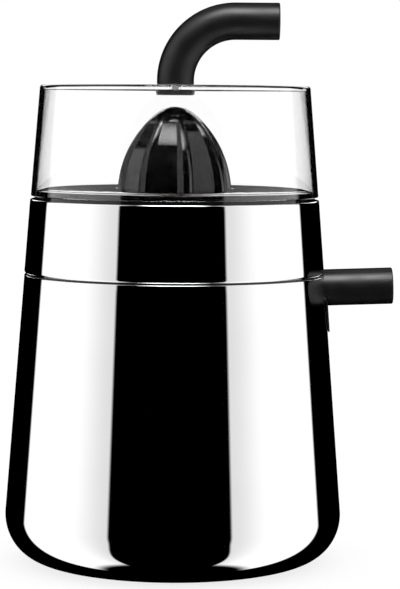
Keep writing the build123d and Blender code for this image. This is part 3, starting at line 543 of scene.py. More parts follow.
@dataclass(frozen=True)
class WorkedMetal(Finish):
    """Turned, pressed or drawn metal that is not polished."""

    colour: tuple[float, float, float]
    roughness: float = 0.3
    mark: tuple[float, float, float] = (3.0, 3.0, 0.25)
    depth: float = 0.002

    def shader(self, bench: Bench) -> Value:
        """Metal with tool marks and a little staining."""
        marks = bench.grain(self.mark, 3.0, 0.6)
        stain = bench.grain((6.0, 6.0, 6.0), 4.0)
        dark = tuple(part * 0.72 for part in self.colour)
        return bench.surface(
            Base_Color=bench.tint(stain.rise(0.3, 0.7), dark, self.colour),
            Metallic=1.0,
            Roughness=marks.rise(0.3, 0.8, self.roughness * 0.8, self.roughness * 1.4),
            Normal=bench.relief(marks, self.depth),
        )


@dataclass(frozen=True)
class GlossPlastic(Finish):
    """Polished moulded plastic, with the slight waviness of a moulding."""

    colour: tuple[float, float, float] = (0.006, 0.006, 0.0065)
    roughness: float = 0.03
    wave: float = 9.0
    depth: float = 0.002

    def shader(self, bench: Bench) -> Value:
        """Deep gloss with fine wiping marks."""
        wave = bench.grain((self.wave,) * 3, 1.0)
        wipe = bench.grain((0.5, 0.5, 3.0), 3.0, 0.6)
        light = tuple(part * 1.5 + 0.002 for part in self.colour)
        return bench.surface(
            Base_Color=bench.tint(wave.rise(0.3, 0.7), self.colour, light),
            Roughness=wipe.rise(0.45, 0.85, self.roughness, self.roughness + 0.03),
            IOR=1.5,
            Normal=bench.relief(wave, self.depth),
        )


@dataclass(frozen=True)
class GrainedPlastic(Finish):
    """Matt moulded plastic or rubber with a spark-eroded grain."""

    colour: tuple[float, float, float] = (0.012, 0.012, 0.0125)
    roughness: float = 0.46
    grain: float = 0.28
    depth: float = 0.012
    edge: tuple[float, float] | None = None

    def shader(self, bench: Bench) -> Value:
        """Matt colour, a little paler on the grain's tops, and dull where it is seen edge-on."""
        fine = bench.grain((self.grain,) * 3, 3.0, 0.55)
        cloud = bench.grain((14.0, 14.0, 14.0), 3.0)
        light = tuple(part * 1.45 + 0.002 for part in self.colour)
        sockets = {
            "Base_Color": bench.tint(fine.rise(0.35, 0.75) * 0.7 + cloud * 0.3, self.colour, light),
            "Roughness": cloud.rise(0.3, 0.7, self.roughness - 0.04, self.roughness + 0.05),
            "Normal": bench.relief(fine, self.depth),
        }
        shown = bench.surface(IOR=1.5, **sockets)
        if self.edge is None:
            return shown
        return bench.edge_on(*self.edge, shown, bench.surface(Specular_IOR_Level=0.0, **sockets))


@dataclass(frozen=True)
class ClearPlastic(Finish):
    """Clear moulded plastic. Seen edge-on, a near-black opaque surface is mixed in: a painted
    reflection of the dark of the room.
    """

    # Facing range over which the painted dark reflection is mixed in; None leaves the plastic clear.
    edge: tuple[float, float] | None = None
    gloss: float = 0.2

    def shader(self, bench: Bench) -> Value:
        """Refracting plastic, with a painted dark reflection mixed in where it is seen edge-on."""
        wave = bench.grain((16.0, 16.0, 22.0), 1.0)
        wipe = bench.grain((0.6, 0.6, 4.0), 3.0, 0.6)
        clear = bench.surface(
            Base_Color=(1, 1, 1, 1),
            Roughness=wipe.rise(0.55, 0.95, 0.0, 0.015),
            IOR=1.49,
            Specular_IOR_Level=self.gloss,
            Transmission_Weight=1.0,
            Normal=bench.relief(wave, 0.001),
        )
        if self.edge is None:
            return clear
        # Near-black opaque surface: a painted reflection of the room's dark, mixed in edge-on.
        dark = bench.surface(Base_Color=(0.006, 0.006, 0.006, 1), Roughness=0.12, IOR=1.49)
        return bench.edge_on(*self.edge, clear, dark)


@dataclass(frozen=True)
class CircuitBoard(Finish):
    """Green board with copper runs under lacquer."""

    def shader(self, bench: Bench) -> Value:
        """Green lacquer over paler runs."""
        place = bench.node("ShaderNodeTexCoord")["Object"]
        inputs = {"Vector": place, "Scale": 420.0}
        cells = bench.node("ShaderNodeTexVoronoi", {"distance": "MANHATTAN"}, inputs)["Distance"]
        fine = bench.grain((0.4, 0.4, 0.4))
        runs = cells.rise(0.35, 0.4)
        return bench.surface(
            Base_Color=bench.tint(runs, (0.012, 0.085, 0.03), (0.03, 0.17, 0.06)),
            Roughness=fine.rise(0.3, 0.7, 0.25, 0.4),
            Normal=bench.relief(runs + fine * 0.2, 0.02),
        )


# ---------------------------------------------------------------- camera and studio
@dataclass
class Viewpoint:
    """The camera, looking along +Y from in front of the press."""

    distance: float = 1196.0
    aside: float = 13.5
    height: float = 237.7
    pitch: float = -4.71
    roll: float = 0.40
    focal_pixels: float = 2300.0
    picture: tuple[int, int] = (400, 589)
    sensor: float = 36.0

    def place(self) -> None:
        """Make the camera and look through it."""
        lens = bpy.data.cameras.new("camera")
        lens.sensor_width = self.sensor
        lens.lens = self.focal_pixels / max(self.picture) * self.sensor
        lens.clip_start, lens.clip_end = 0.05, 50.0
        camera = bpy.data.objects.new("camera", lens)
        bpy.context.scene.collection.objects.link(camera)
        turn = Matrix.Rotation(math.radians(90 + self.pitch), 4, "X")
        lean = Matrix.Rotation(math.radians(self.roll), 4, "Z")
        spot = Matrix.Translation(Vector((self.aside, -self.distance, self.height)) * MM)
        camera.matrix_world = spot @ turn @ lean
        bpy.context.scene.camera = camera


@dataclass
class Studio:
    """A pale room with a white card on each side, a dark front and a soft light overhead.

    Angles are in degrees: azimuth from the front, and elevation above the horizon.
    """

    card_front: float = 41.95
    card_back: float = 118.5
    card_bottom: float = -63.0
    card_top: float = 66.0
    card_lean: float = 9.0
    card_turn: float = 1.54
    card_soft: float = 1.2
    foot_soft: float = 3.6
    lean_reach: float = 50.0
    grade_reach: float = 30.0
    card_dim: float = 0.78
    card_full: float = 1.08
    top_edge: float = 55.0
    top_soft: float = 12.0
    top_front: Point = (-0.05, 0.15)
    top_light: float = 0.12
    spot_height: float = 63.0
    spot_size: Point = (4.0, 24.0)
    spot_bottom: float = 51.0
    spot_soft: float = 1.0
    spot_light: float = 15.0
    back_start: float = 152.0
    back_edges: Point = (10.0, 48.0)
    back_soft: tuple[float, float, float] = (4.0, 3.0, 5.0)
    back_light: float = 2.5
    through_lid: float = 1.14
    dome: float = 0.72
    dome_top: float = 0.34
    floor_size: float = 12.0
    floor_drop: float = 0.05
    floor_glow: float = 0.70
    floor_colour: float = 0.36

    def mirrored(self, x: Value, y: Value, z: Value) -> Value:
        """What the polished surfaces mirror: the cards and the lights.

        Args:
            x: how far to the right a reflection goes.
            y: how far to the back it goes.
            z: how far up it goes.

        Returns:
            The brightness that way.
        """
        soft, bottom, front = self.card_soft, self.card_bottom, self.card_front
        azimuth = abs(x.turn_from(0.0 - y) + self.card_turn)
        elevation = z.arcsine()
        lean = (1 - elevation.rise(bottom, bottom + self.lean_reach)) * self.card_lean
        side = (azimuth - lean).edge(front, soft) * (1 - azimuth.edge(self.card_back, soft))
        side = side * elevation.edge(bottom, self.foot_soft)
        side = side * azimuth.rise(front, front + self.grade_reach, self.card_dim, self.card_full)
        side = side * (1 - elevation.edge(self.card_top, soft))
        top = elevation.rise(self.top_edge, self.top_edge + self.top_soft)
        top = top * (0.0 - y).rise(*self.top_front) * self.top_light
        (low, high), (around, under, over) = self.back_edges, self.back_soft
        back = azimuth.edge(self.back_start, around) * elevation.edge(low, under)
        back = back * (1 - elevation.edge(high, over)) * self.back_light
        turn = math.radians(self.spot_height)
        inside, outside = (math.cos(math.radians(size)) for size in self.spot_size)
        spot = (z * math.sin(turn) - y * math.cos(turn)).rise(outside, inside) * self.spot_light
        spot = spot * elevation.edge(self.spot_bottom, self.spot_soft)
        return side.most(top).most(back).most(spot)

    def light(self) -> None:
        """Make the world. What is seen directly or through the lid is white."""
        world = bpy.data.worlds.new("studio")
        bpy.context.scene.world = world
        world.use_nodes = True
        world.cycles.sampling_method = "NONE"
        bench = Bench(world.node_tree)
        ray = bench.node("ShaderNodeLightPath")
        way = bench.node("ShaderNodeTexCoord")["Generated"]
        parts = bench.node("ShaderNodeSeparateXYZ", None, {0: way})
        cards = self.mirrored(parts[0], parts[1], parts[2])
        dome = self.dome + parts[2] * self.dome_top
        spread = ray["Diffuse Depth"].least(1.0)
        gloss = ray["Glossy Depth"].least(1.0) * (1 - spread)
        clear = ray["Is Camera Ray"].most(ray["Is Transmission Ray"] * self.through_lid)
        direct = clear * (1 - gloss) * (1 - spread)
        inputs = {"Color": (1, 1, 1, 1), "Strength": direct + gloss * cards + spread * dome}
        lamp = bench.node("ShaderNodeBackground", None, inputs)
        bench.output(lamp[0], "ShaderNodeOutputWorld")
        bpy.context.scene.view_settings.view_transform = "Standard"

    def lay_floor(self) -> None:
        """Make the floor, which glows faintly so that only the shadow shows on it."""
        deselect()
        place = (0, 0, -self.floor_drop * MM)
        bpy.ops.mesh.primitive_plane_add(size=self.floor_size, location=place)
        floor = bpy.context.object
        floor.name = "floor"
        floor.visible_glossy = False
        material = bpy.data.materials.new("floor")
        material.use_nodes = True
        bench = Bench(material.node_tree)
        colour = (self.floor_colour,) * 3 + (1,)
        matt = bench.node("ShaderNodeBsdfDiffuse", None, {"Color": colour})[0]
        inputs = {"Color": (1, 1, 1, 1), "Strength": self.floor_glow}
        glow = bench.node("ShaderNodeEmission", None, inputs)[0]
        seen = bench.node("ShaderNodeAddShader", None, {0: matt, 1: glow})[0]
        ray = bench.node("ShaderNodeLightPath")
        direct = ray["Is Camera Ray"].most(ray["Is Transmission Ray"])
        bench.output(bench.node("ShaderNodeMixShader", None, {0: direct, 1: matt, 2: seen})[0])
        floor.data.materials.append(material)


# ---------------------------------------------------------------- the press
FINISHES: dict[Slot, Finish] = {
    Slot.STEEL: PolishedMetal("mirror_steel"),
    Slot.BLACK_CHROME: PolishedMetal("black_nickel", (0.035, 0.035, 0.037), 0.06),
    Slot.BRIGHT: WorkedMetal("turned_steel", (0.62, 0.62, 0.63), 0.22),
    Slot.BRONZE: WorkedMetal("sintered_bronze", (0.62, 0.38, 0.16), 0.42, (0.3, 0.3, 0.3)),
    Slot.COPPER: WorkedMetal("enamelled_wire", (0.75, 0.30, 0.13), 0.3, (1.0, 1.0, 0.35), 0.02),
    Slot.MAGNET: WorkedMetal("ferrite", (0.10, 0.10, 0.11), 0.55, (0.5, 0.5, 0.5)),
    Slot.BLACK: GrainedPlastic("moulded_black", (0.014, 0.014, 0.015), 0.38, 0.4, 0.008),
    Slot.SOFT_BLACK: GrainedPlastic(
        "soft_touch_black", (0.004, 0.004, 0.0042), 0.42, edge=(0.15, 0.75)
    ),
    Slot.GLOSS_BLACK: GlossPlastic("gloss_black"),
    Slot.GREY: GrainedPlastic("moulded_grey", (0.26, 0.265, 0.27), 0.4, 0.4, 0.008),
    Slot.WHITE: GrainedPlastic("moulded_white", (0.72, 0.72, 0.70), 0.35, 0.4, 0.006),
    Slot.RUBBER: GrainedPlastic("rubber", (0.018, 0.018, 0.018), 0.62, 0.5, 0.02),
    Slot.BOARD: CircuitBoard("circuit_board"),
    Slot.CLEAR: ClearPlastic("clear_moulding"),
}
# The lid's inside stays clear; its wall and its top corner darken edge-on with a painted dark
# reflection.
LID_FINISHES = (
    ClearPlastic("clear_moulding_inside", gloss=0.04),
    ClearPlastic("clear_moulding_rim_painted_dark", edge=(0.70, 0.77)),
    ClearPlastic("clear_moulding_crown_painted_dark", edge=(0.20, 0.38)),
)
GASKET_FINISH = GrainedPlastic("silicone", (0.085, 0.085, 0.087), 0.5, 0.5, 0.01)


@dataclass
class Housing:
    """The steel body and the steel ring of the bowl above it."""

    foot: float = 0.75
    lip_radius: float = 58.0
    recess_radius: float = 64.5
    recess_top: float = 2.35
    corner_centre: Point = (65.9, 24.45)
    corner: Point = (21.85, 23.7)
    corner_turn: float = 4.83
    top: Point = SHELL_TOP
    weld: float = 48.0
    wall: float = 1.2
    notch_half: float = 12.75
    notch_bottom: float = 131.55
    ring_bottom: Point = (77.9, 150.35)
    ring_top: Point = (75.0, 188.8)
    ring_wall: float = 1.0
    ring_edge: float = 0.7
    ring_lip: float = 72.8
    ring_foot: float = 1.5
    cord_hole: float = 6.3
    cord_height: float = 30.0
    edge: float = 0.25
    tube_room: float = TUBE_ROOM
    tube_height: float = PIVOT[2]
    cutter: Point = (60.0, 100.0)
    facets: int = 288

    def side(self, z: float) -> float:
        """Outer radius of the body's straight side at a height."""
        turn = math.radians(self.corner_turn)
        low_r = self.corner_centre[0] + self.corner[0] * math.cos(turn)
        low_z = self.corner_centre[1] + self.corner[1] * math.sin(turn)
        return low_r + (self.top[0] - low_r) * (z - low_z) / (self.top[1] - low_z)

    def shell_outline(self) -> list[Point]:
        """Half section of the upper shell's wall, above the weld."""
        t, e, (top_r, top_z) = self.wall, self.edge, self.top
        side = run((self.side(self.weld), self.weld), (top_r, top_z - e), 5.0)
        rim = arc((top_r - e, top_z - e), (e, e), 0, 90, 4)[1:]
        return [*side, *rim, (top_r - t, top_z), (self.side(self.weld) - t, self.weld)]

    def base_outline(self) -> list[Point]:
        """Half section of the shell's base, with its turned-in lip."""
        (r, z), (a, b), t = self.corner_centre, self.corner, self.wall
        outer = arc((r, z), (a, b), -90, self.corner_turn, 44)
        inner = arc((r, z), (a - t, b - t), self.corner_turn, -90, 14)
        side = run(outer[-1], (self.side(self.weld), self.weld), 5.0)[1:]
        lip = self.recess_radius + t
        return [
            (self.lip_radius, self.recess_top), (self.recess_radius, self.recess_top),
            (self.recess_radius, self.foot), *outer, *side,
            (self.side(self.weld) - t, self.weld), *inner,
            (lip, self.foot + t), (lip, self.recess_top + t),
            (self.lip_radius, self.recess_top + t),
        ]

    def ring_outline(self) -> list[Point]:
        """Half section of the ring's wall."""
        (low_r, low_z), (top_r, top_z) = self.ring_bottom, self.ring_top
        e, c, t = self.ring_foot, self.ring_edge, self.ring_wall
        foot = arc((low_r - e, low_z + e), (e, e), -65, 0, 10)
        crown = arc((top_r + 0.03 - c, top_z - c), (c, c), 4, 90, 8)
        return [
            (low_r - t, foot[0][1]), *foot, *run(foot[-1], crown[0], 3.0)[1:-1], *crown,
            (self.ring_lip, top_z), (self.ring_lip, top_z - t), (top_r - t + 0.08, top_z - t),
        ]

    def build(self, steel: bpy.types.Material) -> None:
        """Model the shell, its base and the ring."""
        (near, far), half, high = self.cutter, self.notch_half, self.top[1] + self.wall
        shell = Workpiece.turned("shell_steel", self.shell_outline(), self.facets)
        shell.cut(Workpiece.box("notch", (near, -half, self.notch_bottom), (far, half, high)))
        shell.complete(steel, "base", Slot.STEEL, "body_shell")
        base = Workpiece.turned("base_steel", self.base_outline(), self.facets)
        start, end = (0, near, self.cord_height), (0, far, self.cord_height)
        base.cut(Workpiece.bar("cord_hole", self.cord_hole, start, end))
        base.complete(steel, "base", Slot.STEEL, "shell_base")
        ring = Workpiece.turned("ring_steel", self.ring_outline(), self.facets)
        start, end = (near, 0, self.tube_height), (far, 0, self.tube_height)
        ring.cut(Workpiece.bar("tube_notch", self.tube_room, start, end))
        ring.complete(steel, "bowl_assembly", Slot.STEEL, "bowl_ring")


@dataclass
class Bowl:
    """The black juice bowl, its rim and the seat of the spout."""

    bottom: float = 134.6
    floor: Point = (63.5, 137.0)
    wall: float = 2.5
    mouth: Point = (66.8, 191.8)
    seat: float = 150.0
    flange: Point = (77.2, 150.35)
    flange_step: tuple[float, float, float] = (76.8, 76.65, 152.35)
    chimney: Point = (11.5, 13.7)
    chimney_top: float = 201.0
    shoulder: Point = (73.97, 187.8)
    shoulder_height: float = 2.5
    neck_radius: float = 72.7
    rim: Point = (71.8, 190.5)
    rim_top: float = 193.7
    rim_slope: float = 0.55
    ledge_radius: float = 69.4
    pivot: tuple[float, float, float] = PIVOT
    ball: float = 9.8
    shell: float = 12.35
    cheek: float = 12.25
    cheek_reach: float = 2.2
    roof_reach: float = 0.5
    bore: float = DRAIN_RADIUS
    tube_room: float = TUBE_ROOM
    room_back: float = 2.0
    housing_bottom: float = 132.05
    housing_start: float = 65.12
    pin: float = 1.5
    drain_reach: float = 22.0
    seat_edge: float = 0.5
    facets: int = 224

    def inner(self, z: float) -> float:
        """Inner radius of the bowl's wall at a height."""
        rise = (z - self.floor[1]) / (self.mouth[1] - self.floor[1])
        return self.floor[0] + (self.mouth[0] - self.floor[0]) * rise

    def outline(self) -> list[Point]:
        """Half section of the bowl."""
        low, t, (bore, outer) = self.bottom, self.wall, self.chimney
        under = self.shoulder[1] - self.shoulder_height
        return rounded([
            (bore, low + 3.0, 0.4), (self.inner(low) + t, low, 1.5),
            (self.inner(under) + t, under, 0), (self.shoulder[0] + 0.19, under, 0),
            (*self.shoulder, 0.2), (self.neck_radius, self.shoulder[1], 0),
            (self.neck_radius, self.rim[1], 0), (*self.rim, 0.15),
            (self.rim[0] - 0.25, self.rim_top - self.rim_slope, 0.3),
            (self.ledge_radius, self.rim_top, 0.25), (self.ledge_radius, self.mouth[1], 0),
            (*self.mouth, 0.3), (*self.floor, 6.0), (outer, self.floor[1] + 3.0, 3.0),
            (outer, self.chimney_top, 0.6), (bore, self.chimney_top, 0.6),
        ])

    def flange_outline(self) -> list[Point]:
        """Half section of the flange that carries the ring."""
        (edge, foot), (low_r, high_r, high) = self.flange, self.flange_step
        return rounded([
            (self.inner(self.seat) + self.wall, self.seat, 0), (edge, self.seat, 0.1),
            (edge, foot, 0.1), (low_r, foot, 0), (high_r, high, 0.3),
            (self.inner(high) + self.wall, high, 0),
        ])

    def drain(self) -> Workpiece:
        """The bore that the juice leaves the bowl through."""
        x, _, z = self.pivot
        return Workpiece.bar("drain", self.bore, (x - self.drain_reach, 0, z), (x, 0, z))

    def hollows(self) -> list[Workpiece]:
        """The filled bowl, and the room of the spout's ball, tube, bore and pins."""
        x, _, z = self.pivot
        low, high, t = self.bottom, self.shoulder[1], self.wall
        form = [(0, low), (self.inner(low) + t, low), (self.inner(high) + t, high), (0, high)]
        return [
            Workpiece.turned("bowl_form", form, self.facets),
            self.sphere("ball", self.ball),
            Workpiece.bar("room", self.tube_room, (x - self.room_back, 0, z), (x + 20, 0, z)),
            self.drain(),
        ]

    def build(self, gloss: bpy.types.Material) -> None:
        """Model the bowl, its flange and the spout's seat."""
        (x, _, z), side, seat_top = self.pivot, self.cheek, self.seat
        bowl = Workpiece.turned("bowl_black", self.outline(), self.facets)
        bowl.cut(self.drain())
        flange = Workpiece.turned("flange_black", self.flange_outline(), self.facets)
        roof = self.sphere("roof", self.shell)
        low = (self.housing_start, -side, seat_top)
        high = (x + self.roof_reach, side, z + self.shell)
        roof.cut(Workpiece.box("roof_room", low, high), operation="INTERSECT")
        flange.cut(roof, operation="UNION")
        flange.cut(*self.hollows())
        low = (self.housing_start, -side, self.housing_bottom)
        seat = Workpiece.box("seat_black", low, (x + self.cheek_reach, side, seat_top))
        with seat.editing("EDGE"):
            bpy.ops.mesh.bevel(offset=self.seat_edge * MM, segments=3)
        seat.cut(*self.hollows(), Workpiece.bar("pins", self.pin, (x, -20, z), (x, 20, z), 32))
        for piece, node in ((bowl, "bowl"), (flange, "bowl_flange"), (seat, "spout_seat")):
            piece.complete(gloss, "bowl_assembly", Slot.GLOSS_BLACK, node)

    def sphere(self, name: str, radius: float) -> Workpiece:
        """A ball round the spout's pivot, turned from its half outline."""
        x, _, z = self.pivot
        outline = arc((x, z), (radius, radius), 0, 180, 32)
        ball = Workpiece.wire(name, [Vector((across, 0, up)) for across, up in outline])
        ball.spin(64, 360, self.pivot, (1, 0, 0))
        return ball


@dataclass
class Spout:
    """The tilting spout with its finger tongue."""

    pivot: tuple[float, float, float] = PIVOT
    radius: float = 9.5
    bore: float = DRAIN_RADIUS
    tip: float = 113.7
    slope: float = 2.0
    edge: float = 0.8
    tongue_bottom: float = 120.4
    tongue_top: float = 139.2
    tongue_half: float = 9.0
    tongue_gap: float = 0.25
    tongue_thickness: float = 0.85
    tongue_corner: float = 5.0
    tongue_edge: float = 0.2
    shell_top: Point = SHELL_TOP
    shell_slope: float = 0.07788

    def along(self, distance: float, radius: float) -> Vector:
        """A point at a distance along the tube's axis and a radius above it."""
        turn = math.radians(self.slope)
        x, _, z = self.pivot
        return Vector((
            x + distance * math.cos(turn) - radius * math.sin(turn), 0,
            z + distance * math.sin(turn) + radius * math.cos(turn),
        ))

    def tube(self) -> Workpiece:
        """The ball and its tube, turned about the tube's own axis."""
        r, b, e = self.radius, self.bore, self.edge
        reach = (self.tip - self.pivot[0]) / math.cos(math.radians(self.slope))
        ball = arc((0, 0), (r, r), 180 - math.degrees(math.asin(b / r)), 90, 14)
        outline = ball + run((0.0, r), (reach - e, r), 4.0)[1:]
        outline += arc((reach - e, r - e), (e, e), 90, 0, 6)[1:]
        outline += [(reach - 0.15, (r + b) / 2 + 0.6), (reach - 0.35, b + 0.6)]
        outline += arc((reach - 1.0, b + 0.6), (0.6, 0.6), 0, -90, 4) + [(ball[0][0], b)]
        piece = Workpiece.wire("spout_black", [self.along(d, h) for d, h in outline + outline[:1]])
        turn = math.radians(self.slope)
        piece.spin(128, 360, self.pivot, (math.cos(turn), 0, math.sin(turn)))
        return piece

    def tongue(self) -> Workpiece:
        """The finger tongue, a thin plate that lies along the body."""
        low, high, half = self.tongue_bottom, self.tongue_top, self.tongue_half
        gap = self.tongue_gap

        def face(z: float) -> float:
            """Radius of the tongue's inner face at a height."""
            return self.shell_top[0] + self.shell_slope * (self.shell_top[1] - z) + gap

        spread = math.asin(half / face(low))
        points = [
            Vector((face(z) * math.cos(spread), -face(z) * math.sin(spread), z))
            for _, z in run((0, low), (0, high), 1.0)
        ]
        piece = Workpiece.wire("tongue_black", points)
        piece.spin(24, math.degrees(2 * spread))
        size = self.tongue_corner
        with piece.editing("FACE"):
            for side in (-1, 1):
                centre = Vector((0, side * (half - size), low + size))
                for step in range(1, 9):
                    turn = math.radians(90 * (step - 0.5) / 8)
                    out = Vector((0, side * math.sin(turn), -math.cos(turn)))
                    place = (centre + out * size) * MM
                    bpy.ops.mesh.select_all(action="SELECT")
                    bpy.ops.mesh.bisect(plane_co=place, plane_no=out, clear_outer=True)
        with piece.editing("FACE"):
            mesh = bmesh.from_edit_mesh(piece.body.data)
            if sum(face.normal.x for face in mesh.faces) < 0:
                bpy.ops.mesh.flip_normals()
        thickness, limit = self.tongue_thickness * MM, math.radians(50)
        piece.modify("SOLIDIFY", thickness=thickness, offset=1.0, use_even_offset=True)
        width = self.tongue_edge * MM
        piece.modify("BEVEL", width=width, segments=2, limit_method="ANGLE", angle_limit=limit)
        return piece

    def build(self, soft: bpy.types.Material) -> None:
        """Model the spout, and the tongue below it."""
        tongue = self.tongue()
        start, end = self.along(0, 0), self.along(30, 0)
        tongue.cut(Workpiece.bar("tube_form", self.radius, start, end, 128))
        for piece, node in ((self.tube(), "spout_lever"), (tongue, "spout_tongue")):
            piece.complete(soft, "spout", Slot.SOFT_BLACK, node)


@dataclass
class Press:
    """The strainer disc and the ribbed cone that presses the fruit."""

    disc_radius: float = 69.0
    disc_hole: float = 31.0
    disc_bottom: float = 191.8
    disc_thickness: float = 2.5
    disc_collar: float = 3.0
    collar_wall: float = 2.0
    disc_bevel: Point = (67.0, 0.46)
    slot_rings: tuple[float, float] = (41.0, 56.0)
    slot_size: Point = (11.0, 1.5)
    slot_corner: float = 0.45
    slots: int = 40
    cone_radius: float = 30.0
    cone_side: float = 54.5
    cone_shoulder: float = 191.0
    cone_bottom: float = 189.5
    cone_top: float = 236.9
    ribs: int = 8
    rib_start: float = -77.5
    columns: int = 15
    rib_columns: int = 2
    wall_columns: int = 4
    flute_depth: float = 2.5
    flute_end: float = 1.0
    cap_bottom: float = 229.3
    cavity: tuple[Point, ...] = (
        (25.8, 189.5), (24.4, 201.0), (18.8, 207.0), (8.2, 207.0), (8.2, 189.5)
    )
    hub_bore: float = 4.45
    hub_top: float = 222.0
    hub_keep: float = 9.0
    smooth: float = 24.0
    bevel: float = 0.28
    bevel_angle: float = 22.0

    def strainer(self, gloss: bpy.types.Material) -> None:
        """Model the disc with its two rings of slots."""
        low, high = self.disc_bottom, self.disc_bottom + self.disc_thickness
        foot, collar = low - self.disc_collar, self.disc_hole + self.collar_wall
        outline = rounded([
            (self.disc_hole, foot, 0.3), (collar, foot, 0.3),
            (collar, low, 0.5), (self.disc_radius, low, 0.2),
            (self.disc_radius, high - self.disc_bevel[1], 0.2), (self.disc_bevel[0], high, 0),
            (self.disc_hole, high, 0.5),
        ])
        disc = Workpiece.turned("strainer_black", outline, 240)
        (length, width), turn = self.slot_size, 360 / self.slots
        for radius in self.slot_rings:
            start, end = radius - length / 2, radius + length / 2
            slot = Workpiece.box("slot", (start, -width / 2, low - 1), (end, width / 2, high + 1))
            with slot.editing("EDGE"):
                bpy.ops.mesh.select_all(action="DESELECT")
                mesh = bmesh.from_edit_mesh(slot.body.data)
                for edge in mesh.edges:
                    edge.select_set(abs(edge.verts[0].co.z - edge.verts[1].co.z) > MM)
                bmesh.update_edit_mesh(slot.body.data)
                bpy.ops.mesh.bevel(offset=width * self.slot_corner * MM, segments=4)
                bpy.ops.mesh.select_all(action="SELECT")
                bpy.ops.mesh.spin(
                    steps=self.slots - 1, dupli=True, angle=math.radians(360 - turn),
                    center=(0, 0, 0), axis=(0, 0, 1),
                )
            disc.cut(slot)
        disc.complete(gloss, "strainer", Slot.GLOSS_BLACK, "strainer")

    def cone_outline(self) -> list[Point]:
        """Half section of the cone, from the top of its hub round to its tip."""
        side, lean = self.cone_side, self.cone_side - self.cone_radius
        height = self.cone_top - self.cone_shoulder
        tip = (side**2 - lean**2 - height**2) / (2 * (side - height))
        centre = self.cone_top - tip
        start = math.degrees(math.atan2(centre - self.cone_shoulder, lean))
        flank = arc((-lean, self.cone_shoulder), (side, side), 0, start, 30)
        nose = arc((0, centre), (tip, tip), start, 90, 10)[1:]
        bottom, bore = self.cone_bottom, self.hub_bore
        inside = [(0.0, self.hub_top), (bore, self.hub_top), (bore, bottom)]
        foot = [(self.cone_radius - 0.3, bottom), (self.cone_radius, bottom + 0.3)]
        return inside + list(reversed(self.cavity)) + foot + flank + nose

    def flute(self, column: int, radius: float, z: float) -> float:
        """Radius of a column of the cone's side once the flat flutes are pressed in.

        Args:
            column: columns from the middle of a rib, from 0 to self.columns.
            radius: radius of the rib's top at this height, in millimetres.
            z: the height in millimetres.

        Returns:
            The radius in millimetres.
        """
        across = column - self.rib_columns
        if across <= 0 or z >= self.cap_bottom:
            return radius
        turn = math.pi / self.ribs / self.columns
        half = turn * (self.columns - self.rib_columns - self.wall_columns)
        depth = self.flute_depth * radius / self.cone_radius
        floor = (radius - depth) * math.cos(half) / math.cos(turn * (self.columns - column))
        if across < self.wall_columns:
            floor = radius - depth * across / self.wall_columns
        fade = min(1.0, (self.cap_bottom - z) / self.flute_end)
        return radius + (floor - radius) * math.sin(fade * math.pi / 2)

    def reamer(self, gloss: bpy.types.Material) -> None:
        """Model the cone and press its flutes in."""
        start, pitch = math.radians(self.rib_start), 2 * math.pi / self.ribs
        cos, sin = math.cos(start), math.sin(start)
        cone = Workpiece.wire(
            "reamer_black", [Vector((r * cos, r * sin, z)) for r, z in self.cone_outline()]
        )
        cone.spin(self.ribs * self.columns * 2)
        with cone.editing():
            mesh = bmesh.from_edit_mesh(cone.body.data)
            bpy.ops.mesh.select_all(action="DESELECT")
            groups: dict[tuple[int, float], list[bmesh.types.BMVert]] = {}
            for vert in mesh.verts:
                r, z = math.hypot(vert.co.x, vert.co.y) / MM, vert.co.z / MM
                hollow = r < self.cone_radius * 0.9 and z < self.cavity[2][1] + 1
                if r < self.hub_keep or hollow:
                    continue
                offset = (math.atan2(vert.co.y, vert.co.x) - start) % pitch
                column = round(min(offset, pitch - offset) / (pitch / 2) * self.columns)
                groups.setdefault((column, round(z, 3)), []).append(vert)
            for (column, z), verts in groups.items():
                radius = math.hypot(verts[0].co.x, verts[0].co.y) / MM
                share = self.flute(column, radius, z) / radius
                if share > 0.9999:
                    continue
                for vert in verts:
                    vert.select_set(True)
                bpy.ops.transform.resize(value=(share, share, 1), center_override=(0, 0, 0))
                for vert in verts:
                    vert.select_set(False)
        cone.soften(self.smooth)
        cone.modify(
            "BEVEL", width=self.bevel * MM, segments=2, limit_method="ANGLE",
            angle_limit=math.radians(self.bevel_angle), harden_normals=True,
        )
        cone.dress(gloss)
        cone.install("reamer", Slot.GLOSS_BLACK, "reamer")

    def build(self, gloss: bpy.types.Material) -> None:
        """Model both pieces."""
        self.strainer(gloss)
        self.reamer(gloss)


